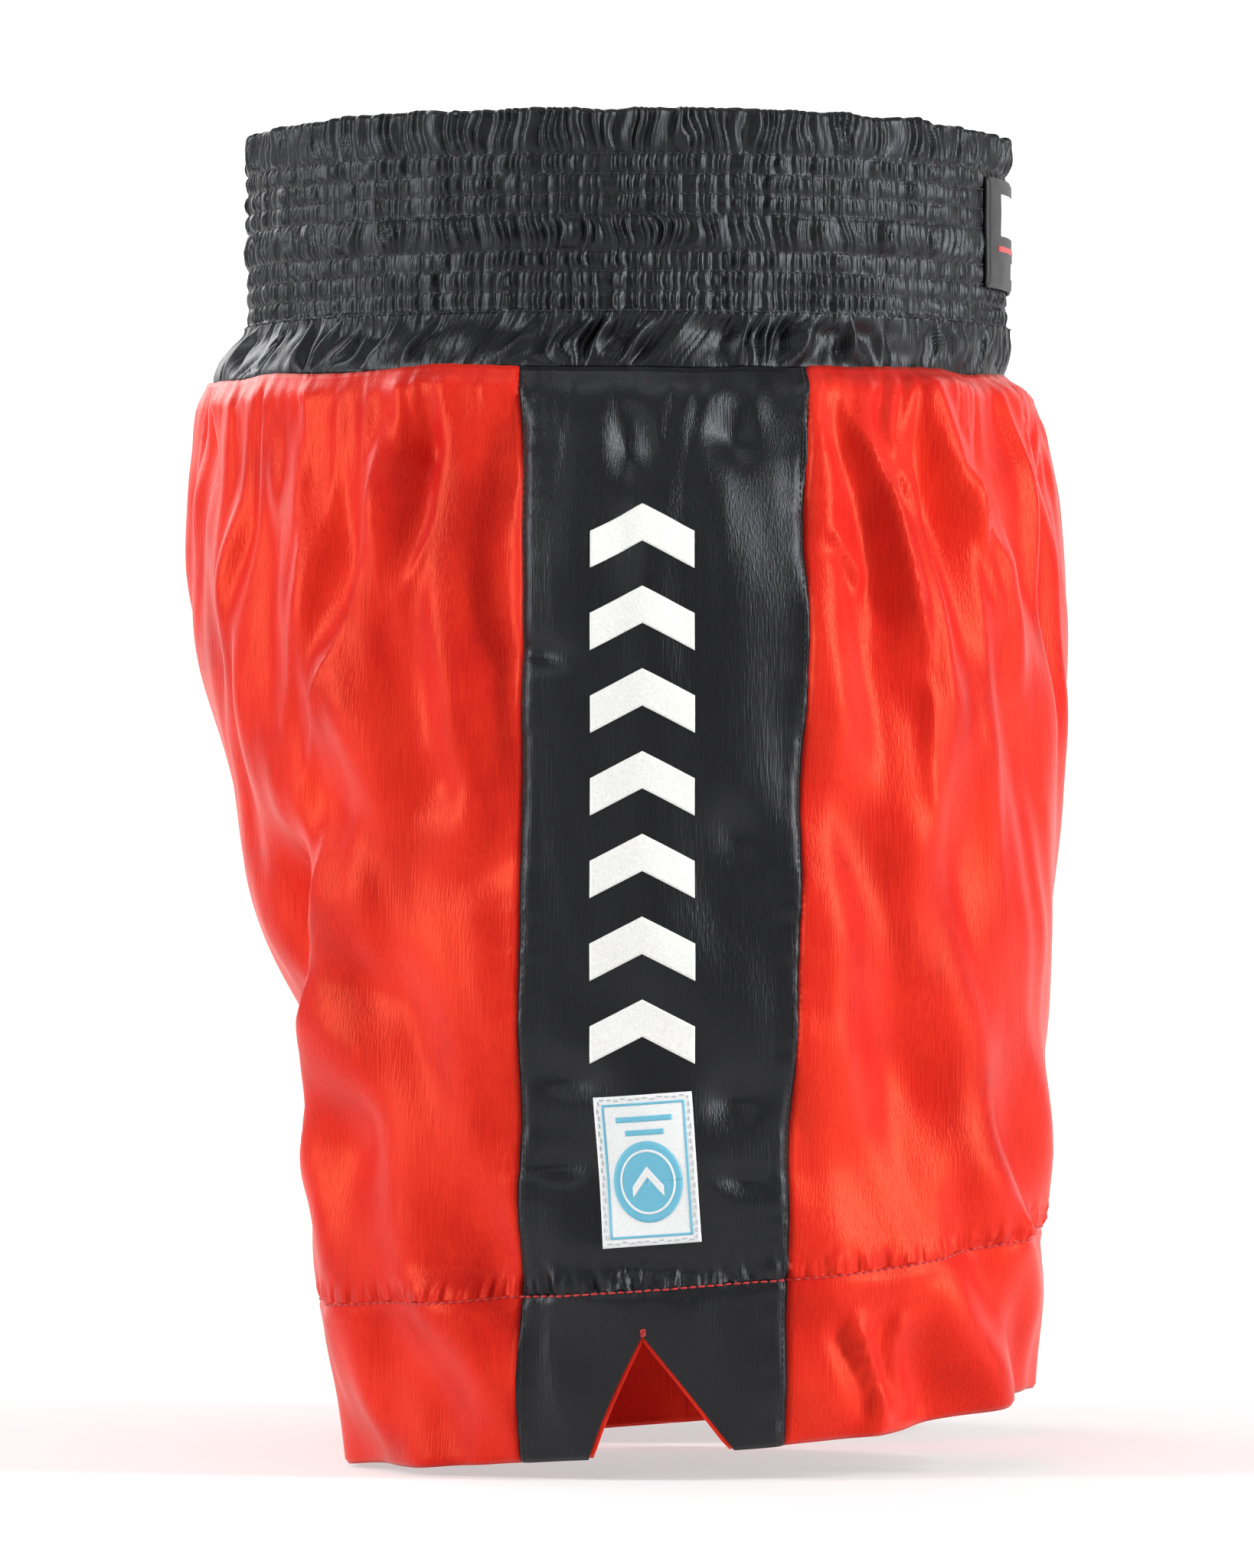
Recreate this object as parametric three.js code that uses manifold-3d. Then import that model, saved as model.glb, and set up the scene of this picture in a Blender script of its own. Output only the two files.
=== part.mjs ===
// Kickboxing shorts in satin: a shirred waistband, four body panels, two side stripes with a slit
// hem, sewn and printed trim. Millimetres, +Z up. The front faces -Y and the wearer's right is -X.
import * as THREE from 'three';
import { mergeVertices } from 'three/addons/utils/BufferGeometryUtils.js';
import Module from 'manifold-3d';

const wasm = await Module();
wasm.setup();

// ---- Driving dimensions ----
const OUTSEAM = 405; // waistband top above the lowest point of the hem
const WAISTBAND_HEIGHT = 76;
const WAIST_WIDTH = 296;
const WAIST_DEPTH = 236;
const SEAM_FLARE = 6; // how far the waist seam stands outside the waist, each way
const HIP_WIDTH = 356;
const HIP_DEPTH = 268;
const HIP_DROP = 62; // widest line below the waist seam
const PUFF_DROP = 16; // where the gathers stand out most, below the waist seam
// How much of the way from the waist seam's size to the hip's has been reached there.
const PUFF_WIDTH_SHARE = 0.375;
const PUFF_DEPTH_SHARE = 0.6;
const CROTCH_HEIGHT = 96;
const THIGH_WIDTH = 366; // across both legs at the crotch
const THIGH_DEPTH = 226;
const LEG_WIDTH = 166; // one leg opening, side to side
const LEG_SPACE = 20; // between the two openings at the hem
const HEM_DEPTH = 205;
const HEM_RISE = 22; // the front of the hem above the back
const HEM_EVEN_RISE = 0.65; // share of the rise that is spread evenly from back to front
const HEM_TURN_UP = 8; // how late and sharply the rest of it turns up at the front
const THIGH_LEAN = 15; // how far each section's middle stands in front of the waist's
const HEM_LEAN = 19;
// How far a leg's middle stands from the body's, as shares of the whole width.
const APART_AT_CROTCH = 1 / 4;
const APART_AT_SEAT = 1 / 6;
const APART_AT_HIP = 1 / 16;

const SATIN = 1.2; // one layer with its share of gathers
const WAIST_SATIN = 1;
const ELASTIC_THICKNESS = 1.2;
const ELASTIC_HEIGHT = 22;
const FACING_THICKNESS = 1;
const FACING_HEIGHT = 48;
const GAP = 0.3; // between pieces that meet
const FACET_CLEARANCE = 0.6; // more between curved layers, for the depth of their facets
const EDGE_MARGIN = 1; // stitches and facings stop this far from a cloth's edge

const STRIPE_BACK = 31; // the stripe's edges, from the middle of the side
const STRIPE_FRONT = -54;
const STRIPE_HEM_WIDTH = 79;
const STITCH_INSET = 3;
const THREAD = 0.6;
const HEM_STITCH_HEIGHT = 49;
const SLIT_HEIGHT = 36;
const SLIT_PEAK = -4.6; // the slit's top, from the middle of the side
const SLIT_TO_BACK = 16; // how far each edge runs from under the peak, at the hem
const SLIT_TO_FRONT = 27;
const SLIT_FACING = 2; // how far the facing shows past the stripe in the slit
const SLIT_OVERRUN = 20; // how far the slit's cutter runs past the leg's outside
const BARTACK_WIDTH = 2.6;
const BARTACK_HEIGHT = 1.8;

const HEADER = 12; // plain fold above the first stitch row
const ROW_PITCH = 6;
const ROWS_IN_GROUP = 4;
const CHANNEL = 11; // open channel between the two groups of rows
const FLOUNCE_BENDS = [0, 0.35, 0.7, 1]; // where the free gathers' section bends, seam to shirring

const PATCH_WIDTH = 112;
const PATCH_HEIGHT = 34;
const PATCH_THICKNESS = 1.6;
const PATCH_DROP = 14; // patch top below the waistband top
const MARK_THICKNESS = 0.5;
// Each mark's width, height and drop from the patch's top, as shares of the patch.
const PATCH_BAR = [0.7, 0.38, 0.14];
const PATCH_LINE = [0.78, 0.05, 0.61];
const PATCH_SHORT_BAR = [0.3, 0.14, 0.74];

const PRINT_COUNT = 7;
const PRINT_PITCH = 24.4;
const PRINT_WIDTH = 31;
const PRINT_STROKE = 11;
const PRINT_POINT = 8; // how far a chevron's point stands above its ends
const PRINT_ABOVE_LABEL = 8.5;
const PRINT_MIDDLE = -4.5;
const LABEL_WIDTH = 29;
const LABEL_HEIGHT = 44.5;
const LABEL_MIDDLE = -6;
const LABEL_ABOVE_STITCH = 13;
const LABEL_TILT = -4; // degrees

const RING_SEGMENTS = 40;
const PANEL_ACROSS = 15;
const PANEL_ROWS = 11;
const STRIPE_ACROSS = 6;
const PATCH_ACROSS = 8;

const SEAM_HEIGHT = OUTSEAM - WAISTBAND_HEIGHT;
const HIP_HEIGHT = SEAM_HEIGHT - HIP_DROP;
const COVER_WALL = 2 * WAIST_SATIN + ELASTIC_THICKNESS + 2 * GAP;
const SIDE_RISE = (HEM_RISE * HEM_EVEN_RISE) / 2;
const LABEL_BOTTOM = SIDE_RISE + HEM_STITCH_HEIGHT + LABEL_ABOVE_STITCH;
const PRINT_BOTTOM = LABEL_BOTTOM + LABEL_HEIGHT + PRINT_ABOVE_LABEL;

// ---- Materials ----
function finish(color, roughness, metalness = 0) {
  return () => new THREE.MeshStandardMaterial({ color, roughness, metalness });
}

const redSatin = finish(0xe0302c, 0.38);
const blackSatin = finish(0x2b2b2e, 0.4);
const knitElastic = finish(0x1b1b1d, 0.85);
const blackThread = finish(0x18181a, 0.6);
const redThread = finish(0xd8262a, 0.55);
const whiteVinyl = finish(0xf2f2ee, 0.45);
const wovenWhite = finish(0xeef0ee, 0.6);
const patchLeather = finish(0x131315, 0.5);
const patchRed = finish(0xc8201f, 0.45);

// ---- Closed meshes and booleans ----
function weld(geometry) {
  geometry.deleteAttribute('normal');
  geometry.deleteAttribute('uv');
  return mergeVertices(geometry, 1e-4);
}

// A sheet with a thickness: a box whose three directions are bent to (across, up, outwards).
function sheet(across, up, place) {
  const geometry = new THREE.BoxGeometry(1, 1, 1, across, up, 1);
  const at = geometry.attributes.position;
  for (let i = 0; i < at.count; i += 1) {
    const p = place(at.getX(i) + 0.5, at.getY(i) + 0.5, at.getZ(i) + 0.5);
    at.setXYZ(i, p.x, p.y, p.z);
  }
  return weld(geometry);
}

function mirror(geometry) {
  const other = geometry.clone().scale(-1, 1, 1);
  const order = other.index.array;
  for (let i = 0; i < order.length; i += 3) {
    [order[i], order[i + 1]] = [order[i + 1], order[i]];
  }
  return other;
}

function solidOf(geometry) {
  const vertProperties = new Float32Array(geometry.attributes.position.array);
  const triVerts = new Uint32Array(geometry.index.array);
  return new wasm.Manifold(new wasm.Mesh({ numProp: 3, vertProperties, triVerts }));
}

function cut(geometry, tool) {
  const mesh = solidOf(geometry).subtract(solidOf(tool)).getMesh();
  const result = new THREE.BufferGeometry();
  result.setAttribute('position', new THREE.BufferAttribute(mesh.vertProperties, 3));
  result.setIndex(new THREE.BufferAttribute(mesh.triVerts, 1));
  return result;
}

// ---- The body's form: two ovals, one per leg, that merge above the crotch ----
// Each station is [height, half width of the whole, middle of one leg, half depth, middle in Y].
const seatHeight = (HIP_HEIGHT + CROTCH_HEIGHT) / 2;
const seatDepth = (THIGH_DEPTH + HIP_DEPTH) / 2;
const seamWidth = WAIST_WIDTH + 2 * SEAM_FLARE;
const seamDepth = WAIST_DEPTH + 2 * SEAM_FLARE;
const puffWidth = THREE.MathUtils.lerp(seamWidth, HIP_WIDTH, PUFF_WIDTH_SHARE);
const puffDepth = THREE.MathUtils.lerp(seamDepth, HIP_DEPTH, PUFF_DEPTH_SHARE);
const stations = [
  [0, LEG_WIDTH + LEG_SPACE / 2, (LEG_WIDTH + LEG_SPACE) / 2, HEM_DEPTH / 2, -HEM_LEAN],
  [CROTCH_HEIGHT, THIGH_WIDTH / 2, THIGH_WIDTH * APART_AT_CROTCH, THIGH_DEPTH / 2, -THIGH_LEAN],
  [seatHeight, (THIGH_WIDTH + HIP_WIDTH) / 4, THIGH_WIDTH * APART_AT_SEAT, seatDepth / 2,
    -THIGH_LEAN / 2],
  [HIP_HEIGHT, HIP_WIDTH / 2, HIP_WIDTH * APART_AT_HIP, HIP_DEPTH / 2, 1],
  [SEAM_HEIGHT - PUFF_DROP, puffWidth / 2, 1, puffDepth / 2, SEAM_FLARE / 2],
  [SEAM_HEIGHT, seamWidth / 2, 0, seamDepth / 2, SEAM_FLARE],
];
const formCurve = new THREE.CubicInterpolant(
  stations.map((s) => s[0]),
  stations.flatMap((s) => s.slice(1)),
  4,
);

function sectionAt(height) {
  const [half, centre, depth, middle] = formCurve.evaluate(height);
  return { centre: Math.max(centre, 0), width: half - Math.max(centre, 0), depth, middle };
}

// Angles run from the outermost point of the leg: positive to the back, negative to the front.
function onLeg(angle, height, outwards) {
  const { centre, width, depth, middle } = sectionAt(height);
  const normal = new THREE.Vector2(Math.cos(angle) / width, Math.sin(angle) / depth).normalize();
  return new THREE.Vector3(
    -(centre + width * Math.cos(angle) + outwards * normal.x),
    middle + depth * Math.sin(angle) + outwards * normal.y,
    height,
  );
}

function hemHeight(angle) {
  const forward = (1 - Math.sin(angle)) / 2;
  const turnUp = (1 - HEM_EVEN_RISE) * forward ** HEM_TURN_UP;
  return HEM_RISE * (HEM_EVEN_RISE * forward + turnUp);
}

function angleOfY(y, height) {
  const { depth, middle } = sectionAt(height);
  return Math.asin((y - middle) / depth);
}

// The angle where a panel ends: at the middle of the body, or at the inseam below the crotch.
function lastAngle(height) {
  const { centre, width, depth } = sectionAt(height);
  const reach = Math.min(1, (centre - GAP / 2) / width);
  return Math.min(Math.acos(-reach), Math.PI - GAP / 2 / depth);
}

function stripeBack(height) {
  return angleOfY(STRIPE_BACK, height);
}

function stripeFront(height) {
  const hemEdge = STRIPE_BACK - STRIPE_HEM_WIDTH;
  const share = THREE.MathUtils.smoothstep(height, 0, HIP_HEIGHT);
  return angleOfY(THREE.MathUtils.lerp(hemEdge, STRIPE_FRONT, share), height);
}

// The angle and height at a share of the way from hem to waist seam, along a slanting edge.
function alongEdge(edge, share) {
  const top = SEAM_HEIGHT - GAP / 2;
  let height = share * top;
  let angle = 0;
  for (let pass = 0; pass < 6; pass += 1) {
    angle = edge(height);
    const hem = hemHeight(angle);
    height = hem + share * (top - hem);
  }
  return { angle, height };
}

function panel(start, end, across) {
  const place = (u, v, t) => {
    const between = (height) => THREE.MathUtils.lerp(start(height), end(height), u);
    const { angle, height } = alongEdge(between, v);
    return onLeg(angle, height, (t - 1) * SATIN);
  };
  return sheet(across, PANEL_ROWS, place);
}

const gapAngle = (height) => GAP / 2 / sectionAt(height).depth;
const slitApex = hemHeight(angleOfY(SLIT_PEAK, 0)) + SLIT_HEIGHT;

// The inverted V cut out of the side, as a prism through the side of the leg.
function slitPrism(inset) {
  const below = SLIT_HEIGHT; // the prism runs on well under the hem
  const toBack = SLIT_TO_BACK / SLIT_HEIGHT;
  const toFront = SLIT_TO_FRONT / SLIT_HEIGHT;
  const drop = (2 * inset) / (toBack + toFront);
  const outline = new THREE.Shape([
    new THREE.Vector2(SLIT_PEAK - toFront * (slitApex + below) + inset, -below),
    new THREE.Vector2(SLIT_PEAK + toBack * (slitApex + below) - inset, -below),
    new THREE.Vector2(SLIT_PEAK + toBack * drop - inset, slitApex - drop),
  ]);
  const outermost = Math.max(THIGH_WIDTH / 2, LEG_WIDTH + LEG_SPACE / 2) + SLIT_OVERRUN;
  const prism = new THREE.ExtrudeGeometry(outline, { depth: LEG_WIDTH / 2, bevelEnabled: false });
  // Shape x becomes Y, shape y becomes Z, and the extrusion runs along X through the side.
  const [x, y, z] = [[1, 0, 0], [0, 1, 0], [0, 0, 1]].map((axis) => new THREE.Vector3(...axis));
  prism.applyMatrix4(new THREE.Matrix4().makeBasis(y, z, x).setPosition(-outermost, 0, 0));
  return weld(prism);
}

function sideStripe() {
  const start = (height) => stripeBack(height) - gapAngle(height);
  const end = (height) => stripeFront(height) + gapAngle(height);
  return cut(panel(start, end, STRIPE_ACROSS), slitPrism(0));
}

function frontPanel() {
  const start = (height) => stripeFront(height) - gapAngle(height);
  return panel(start, (height) => -lastAngle(height), PANEL_ACROSS);
}

function backPanel() {
  const end = (height) => stripeBack(height) + gapAngle(height);
  return panel(lastAngle, end, PANEL_ACROSS);
}

// A band round one leg, from one height above the hem to another, at an offset from the outside.
function legBand(low, high, inner, outer) {
  const place = (u, v, t) => {
    const turn = Math.PI - GAP / HEM_DEPTH;
    const angle = THREE.MathUtils.lerp(turn, -turn, u);
    const height = hemHeight(angle) + THREE.MathUtils.lerp(low, high, v);
    return onLeg(angle, height, THREE.MathUtils.lerp(inner, outer, t));
  };
  return sheet(RING_SEGMENTS, 2, place);
}

function hemFacing() {
  const outside = -SATIN - GAP - FACET_CLEARANCE;
  const band = legBand(EDGE_MARGIN, FACING_HEIGHT, outside - FACING_THICKNESS, outside);
  return cut(band, slitPrism(SLIT_FACING));
}

// The hem's thread crosses over the stripe's, so it stands clear by the dip of its own facets.
function hemStitch() {
  const facetAngle = (2 * Math.PI) / RING_SEGMENTS;
  const facetDip = (Math.max(LEG_WIDTH, HEM_DEPTH) / 2) * (facetAngle ** 2 / 8);
  const inner = 3 * GAP + facetDip;
  return legBand(HEM_STITCH_HEIGHT, HEM_STITCH_HEIGHT + THREAD, inner, inner + THREAD);
}

// The thread bends where the cloth's own rows do, so it follows the cloth at any shape of the leg.
function stripeStitch(edge, inwards) {
  const line = (height) => edge(height) + (inwards * STITCH_INSET) / sectionAt(height).depth;
  const place = (u, v, t) => {
    const row = alongEdge(line, v);
    const low = hemHeight(line(0)) + EDGE_MARGIN;
    const height = THREE.MathUtils.clamp(row.height, low, SEAM_HEIGHT - EDGE_MARGIN);
    const turn = line(height) - ((u - 0.5) * THREAD) / sectionAt(height).depth;
    return onLeg(turn, height, GAP * (1 + t));
  };
  return sheet(1, PANEL_ROWS, place);
}

// Flat trim on the stripe: a sheet in the side plane, laid onto the outside of the leg.
function onStripe(y, height, outwards) {
  return onLeg(angleOfY(y, height), height, outwards);
}

// A chevron lies in two straight arms that meet at its point.
function printMark(index) {
  const base = PRINT_BOTTOM + index * PRINT_PITCH;
  const place = (u, v, t) => {
    const across = u - 0.5;
    const y = PRINT_MIDDLE - across * PRINT_WIDTH;
    const rise = PRINT_POINT * (1 - 2 * Math.abs(across));
    return onStripe(y, base + rise + v * PRINT_STROKE, 2 * GAP + t * MARK_THICKNESS);
  };
  return sheet(4, 2, place);
}

function sideLabel() {
  const tilt = THREE.MathUtils.degToRad(LABEL_TILT);
  const place = (u, v, t) => {
    const flat = new THREE.Vector2((0.5 - u) * LABEL_WIDTH, (v - 0.5) * LABEL_HEIGHT);
    flat.rotateAround(new THREE.Vector2(), tilt);
    const height = LABEL_BOTTOM + LABEL_HEIGHT / 2 + flat.y;
    return onStripe(LABEL_MIDDLE + flat.x, height, 2 * GAP + t * MARK_THICKNESS);
  };
  return sheet(3, 4, place);
}

function slitBartack() {
  const place = (u, v, t) => {
    const y = SLIT_PEAK + (0.5 - u) * BARTACK_WIDTH;
    const height = slitApex + EDGE_MARGIN + v * BARTACK_HEIGHT;
    return onStripe(y, height, GAP + t * MARK_THICKNESS);
  };
  return sheet(1, 1, place);
}

// ---- The waistband: one oval, flared at the waist seam ----
const firstRow = OUTSEAM - HEADER;
const secondGroup = firstRow - (ROWS_IN_GROUP - 1) * ROW_PITCH - CHANNEL;
const rowHeights = [firstRow, secondGroup].flatMap(
  (top) => Array.from({ length: ROWS_IN_GROUP }, (_, row) => top - row * ROW_PITCH),
);
const elasticMargin = (ELASTIC_HEIGHT - (ROWS_IN_GROUP - 1) * ROW_PITCH) / 2;
const flounceTop = rowHeights.at(-1) - elasticMargin - EDGE_MARGIN; // free gathers hang below this

function onWaist(angle, height, outwards) {
  const flare = SEAM_FLARE * (1 - THREE.MathUtils.smoothstep(height, SEAM_HEIGHT, flounceTop));
  const width = WAIST_WIDTH / 2 + flare;
  const depth = WAIST_DEPTH / 2 + flare;
  const normal = new THREE.Vector2(Math.cos(angle) / width, Math.sin(angle) / depth).normalize();
  return new THREE.Vector3(
    width * Math.cos(angle) + outwards * normal.x,
    flare + depth * Math.sin(angle) + outwards * normal.y,
    height,
  );
}

// A ring round the waist; its closed section is given as [outwards, height] corners.
function waistRing(section) {
  const far = WAIST_WIDTH;
  const corners = section.map(([outwards, height]) => new THREE.Vector2(far + outwards, height));
  corners.push(corners[0].clone());
  const geometry = weld(new THREE.LatheGeometry(corners, RING_SEGMENTS));
  const at = geometry.attributes.position;
  for (let i = 0; i < at.count; i += 1) {
    const outwards = Math.hypot(at.getX(i), at.getZ(i)) - far;
    const p = onWaist(Math.atan2(-at.getZ(i), at.getX(i)), at.getY(i), outwards);
    at.setXYZ(i, p.x, p.y, p.z);
  }
  return geometry;
}

// One strip folded over the elastics; its inner wall ends where the free gathers start.
function waistbandCover() {
  const bottom = SEAM_HEIGHT + GAP / 2;
  const flounce = FLOUNCE_BENDS.map((share) => THREE.MathUtils.lerp(bottom, flounceTop, share));
  const outerFace = flounce.map((height) => [0, height]);
  const innerFace = flounce.map((height) => [-WAIST_SATIN, height]).reverse();
  return waistRing([
    ...outerFace,
    [0, OUTSEAM],
    [-COVER_WALL, OUTSEAM],
    [-COVER_WALL, flounceTop],
    [-COVER_WALL + WAIST_SATIN, flounceTop],
    [-COVER_WALL + WAIST_SATIN, OUTSEAM - WAIST_SATIN],
    [-WAIST_SATIN, OUTSEAM - WAIST_SATIN],
    ...innerFace,
  ]);
}

function waistElastic(topRow) {
  const top = topRow + elasticMargin;
  const outer = -WAIST_SATIN - GAP;
  return waistRing([
    [outer, top - ELASTIC_HEIGHT],
    [outer, top],
    [outer - ELASTIC_THICKNESS, top],
    [outer - ELASTIC_THICKNESS, top - ELASTIC_HEIGHT],
  ]);
}

function shirrRow(height) {
  return waistRing([
    [GAP, height - THREAD / 2],
    [GAP + THREAD / 2, height],
    [GAP, height + THREAD / 2],
  ]);
}

// A plate on the front of the waistband, given by its size and its place on the patch.
function frontPlate(width, height, top, inner, thickness, across) {
  const place = (u, v, t) => {
    const x = (u - 0.5) * width;
    const angle = -Math.acos(x / (WAIST_WIDTH / 2));
    return onWaist(angle, top - height + v * height, inner + t * thickness);
  };
  return sheet(across, 1, place);
}

const patchTop = OUTSEAM - PATCH_DROP;
const patchInner = 2 * GAP + THREAD + FACET_CLEARANCE;
const markInner = patchInner + PATCH_THICKNESS + GAP;

function waistPatch() {
  return frontPlate(PATCH_WIDTH, PATCH_HEIGHT, patchTop, patchInner, PATCH_THICKNESS, PATCH_ACROSS);
}

// Generic marks on the patch: a bar, a red line and a short bar.
function patchMark([widthShare, heightShare, topShare]) {
  const width = PATCH_WIDTH * widthShare;
  const across = 2 * Math.max(1, Math.round(PATCH_ACROSS * widthShare));
  const top = patchTop - PATCH_HEIGHT * topShare;
  return frontPlate(width, PATCH_HEIGHT * heightShare, top, markInner, MARK_THICKNESS, across);
}

// ---- Assembly ----
const shorts = new THREE.Group();

function add(name, geometry, material) {
  const mesh = new THREE.Mesh(geometry, material());
  mesh.name = name;
  shorts.add(mesh);
}

function addPair(name, geometry, material) {
  add(`right_${name}`, geometry, material);
  add(`left_${name}`, mirror(geometry), material);
}

add('waistband_cover', waistbandCover(), blackSatin);
add('waist_elastic_upper', waistElastic(firstRow), knitElastic);
add('waist_elastic_lower', waistElastic(secondGroup), knitElastic);
rowHeights.forEach((height, i) => add(`shirr_stitch_${i + 1}`, shirrRow(height), blackThread));
add('waist_patch', waistPatch(), patchLeather);
add('patch_bar', patchMark(PATCH_BAR), whiteVinyl);
add('patch_line', patchMark(PATCH_LINE), patchRed);
add('patch_short_bar', patchMark(PATCH_SHORT_BAR), whiteVinyl);

addPair('front_panel', frontPanel(), redSatin);
addPair('back_panel', backPanel(), redSatin);
addPair('side_stripe', sideStripe(), blackSatin);
addPair('hem_facing', hemFacing(), redSatin);
addPair('hem_stitch', hemStitch(), redThread);
addPair('stripe_stitch_front', stripeStitch(stripeFront, 1), blackThread);
addPair('stripe_stitch_back', stripeStitch(stripeBack, -1), blackThread);
addPair('slit_bartack', slitBartack(), redThread);
for (let i = 0; i < PRINT_COUNT; i += 1) {
  addPair(`print_chevron_${i + 1}`, printMark(i), whiteVinyl);
}
add('right_woven_label', sideLabel(), wovenWhite);

// The origin is under the middle of the whole, on the surface it stands on.
const box = new THREE.Box3().setFromObject(shorts, true);
shorts.position.set(-(box.min.x + box.max.x) / 2, -(box.min.y + box.max.y) / 2, -box.min.z);
shorts.updateMatrixWorld(true);

export default shorts;
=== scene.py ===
# %% [markdown]
# # Satin kickboxing shorts
# A lesson in modelling sewn satin. A cloth simulation finds the body's soft folds, and formulas
# add the gathers, seams, shirring and stitches that are too fine for a simulation to find.
# Lengths are in millimetres here and become metres only when a mesh is made. The camera, the
# lights and the materials are in metres, as Blender has them.

# %% Load the fixed frame
import math

import bpy
import numpy as np
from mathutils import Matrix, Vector


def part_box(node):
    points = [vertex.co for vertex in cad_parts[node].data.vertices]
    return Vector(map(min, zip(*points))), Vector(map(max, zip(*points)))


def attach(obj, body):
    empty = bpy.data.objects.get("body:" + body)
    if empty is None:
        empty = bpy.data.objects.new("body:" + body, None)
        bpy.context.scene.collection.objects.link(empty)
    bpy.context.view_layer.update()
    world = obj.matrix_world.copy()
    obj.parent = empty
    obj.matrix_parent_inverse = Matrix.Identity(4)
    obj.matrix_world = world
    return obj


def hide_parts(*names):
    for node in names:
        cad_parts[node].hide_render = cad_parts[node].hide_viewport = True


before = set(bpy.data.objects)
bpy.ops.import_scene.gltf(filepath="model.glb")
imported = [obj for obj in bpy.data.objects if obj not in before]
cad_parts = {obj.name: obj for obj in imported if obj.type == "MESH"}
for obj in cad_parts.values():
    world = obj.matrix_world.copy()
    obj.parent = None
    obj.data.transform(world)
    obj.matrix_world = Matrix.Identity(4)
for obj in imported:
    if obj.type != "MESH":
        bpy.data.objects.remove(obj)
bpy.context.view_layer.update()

MM = 0.001

# %% [markdown]
# ## The camera
# The shorts are looked at square-on from the wearer's right, level with their middle, from far
# away. A long lens at 3.5 m keeps the near and far sides almost the same size.

# %% Camera
CAMERA_DISTANCE = 3.5
FRAME_HEIGHT = 0.4876  # metres of the object's middle plane that the picture's height takes in
SENSOR = 36.0
MIDDLE_Y = -0.001
MIDDLE_Z = 0.205
camera_data = bpy.data.cameras.new("camera")
camera_data.sensor_width = SENSOR
camera_data.lens = SENSOR * CAMERA_DISTANCE / FRAME_HEIGHT
camera_data.clip_end = 50
camera = bpy.data.objects.new("camera", camera_data)
camera.location = (-CAMERA_DISTANCE, MIDDLE_Y, MIDDLE_Z)
camera.rotation_euler = (math.pi / 2, 0, -math.pi / 2)
bpy.context.scene.collection.objects.link(camera)
bpy.context.scene.camera = camera
print("lens", round(camera_data.lens, 1), "mm")

# %% [markdown]
# ## Small helpers
# Every cloth here is a grid of points, so one function turns a grid into a mesh. Noise could come
# from a texture, but a sum of sine waves with seeded directions is smooth and the same at every
# run, and it can be stretched along the cloth. Pleats are the same idea with sharp valleys.


# %% Helpers for steps and noise
def smoothstep(low, high, x):
    """0 up to low, 1 from high on, and a smooth rise between them."""
    t = np.clip((x - low) / (high - low), 0, 1)
    return t * t * (3 - 2 * t)


def bell(x, width):
    """A rounded bump of height 1 at x = 0."""
    return np.exp(-((x / width) ** 2))


def waves(a, b, length_a, length_b, seed, count=12):
    """Smooth noise of about -1 to 1 over two coordinates, with its own wavelength in each."""
    draw = np.random.default_rng(seed)
    total = 0
    for _ in range(count):
        ka, kb = draw.normal(0, 1, 2)
        phase = draw.uniform(0, math.tau)
        total = total + np.sin(math.tau * (a * ka / length_a + b * kb / length_b) + phase)
    return total / math.sqrt(count) * 0.9


def pleats(x, pitch, seed):
    """Rounded crests with tight valleys, 0 to 1, at an uneven pitch."""
    drift = waves(x, 0 * x, pitch * 5, 1, seed) * 0.9
    height = 0.65 + 0.35 * waves(x, 0 * x, pitch * 2.5, 1, seed + 1)
    return np.abs(np.sin(math.pi * (x / pitch + drift))) ** 0.7 * np.clip(height, 0.15, 1.3)


# %% Helpers for grids and meshes
def grid_faces(rows, columns, wrap=False):
    """Quads over a (rows, columns) grid of vertices."""
    last = columns if wrap else columns - 1
    r, c = np.meshgrid(np.arange(rows - 1), np.arange(last), indexing="ij")
    nxt = (c + 1) % columns
    low, high = r * columns, (r + 1) * columns
    return np.stack([low + c, low + nxt, high + nxt, high + c], -1).reshape(-1, 4)


def make_mesh(name, points, faces, uv=None):
    """A smooth-shaded object from points in millimetres and quads or triangles."""
    faces = np.asarray(faces)
    points = np.asarray(points, float).reshape(-1, 3)
    mesh = bpy.data.meshes.new(name)
    mesh.vertices.add(len(points))
    mesh.vertices.foreach_set("co", (points * MM).ravel())
    sides = faces.shape[1]
    mesh.loops.add(faces.size)
    mesh.loops.foreach_set("vertex_index", faces.ravel().astype(np.int32))
    mesh.polygons.add(len(faces))
    mesh.polygons.foreach_set("loop_start", np.arange(0, faces.size, sides, dtype=np.int32))
    mesh.polygons.foreach_set("use_smooth", np.ones(len(faces), bool))
    mesh.update(calc_edges=True)
    if uv is not None:
        layer = mesh.uv_layers.new(name="cloth")
        layer.data.foreach_set("uv", np.asarray(uv, float).reshape(-1, 2)[faces.ravel()].ravel())
    obj = bpy.data.objects.new(name, mesh)
    bpy.context.scene.collection.objects.link(obj)
    return obj


def grid_normals(points, wrap=False):
    """Unit normals of a (rows, columns, 3) grid whose rows go up and columns go left to right."""
    if wrap:
        along = np.roll(points, -1, 1) - np.roll(points, 1, 1)
    else:
        along = np.gradient(points, axis=1)
    normal = np.cross(along, np.gradient(points, axis=0))
    return normal / np.maximum(np.linalg.norm(normal, axis=-1, keepdims=True), 1e-9)


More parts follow.
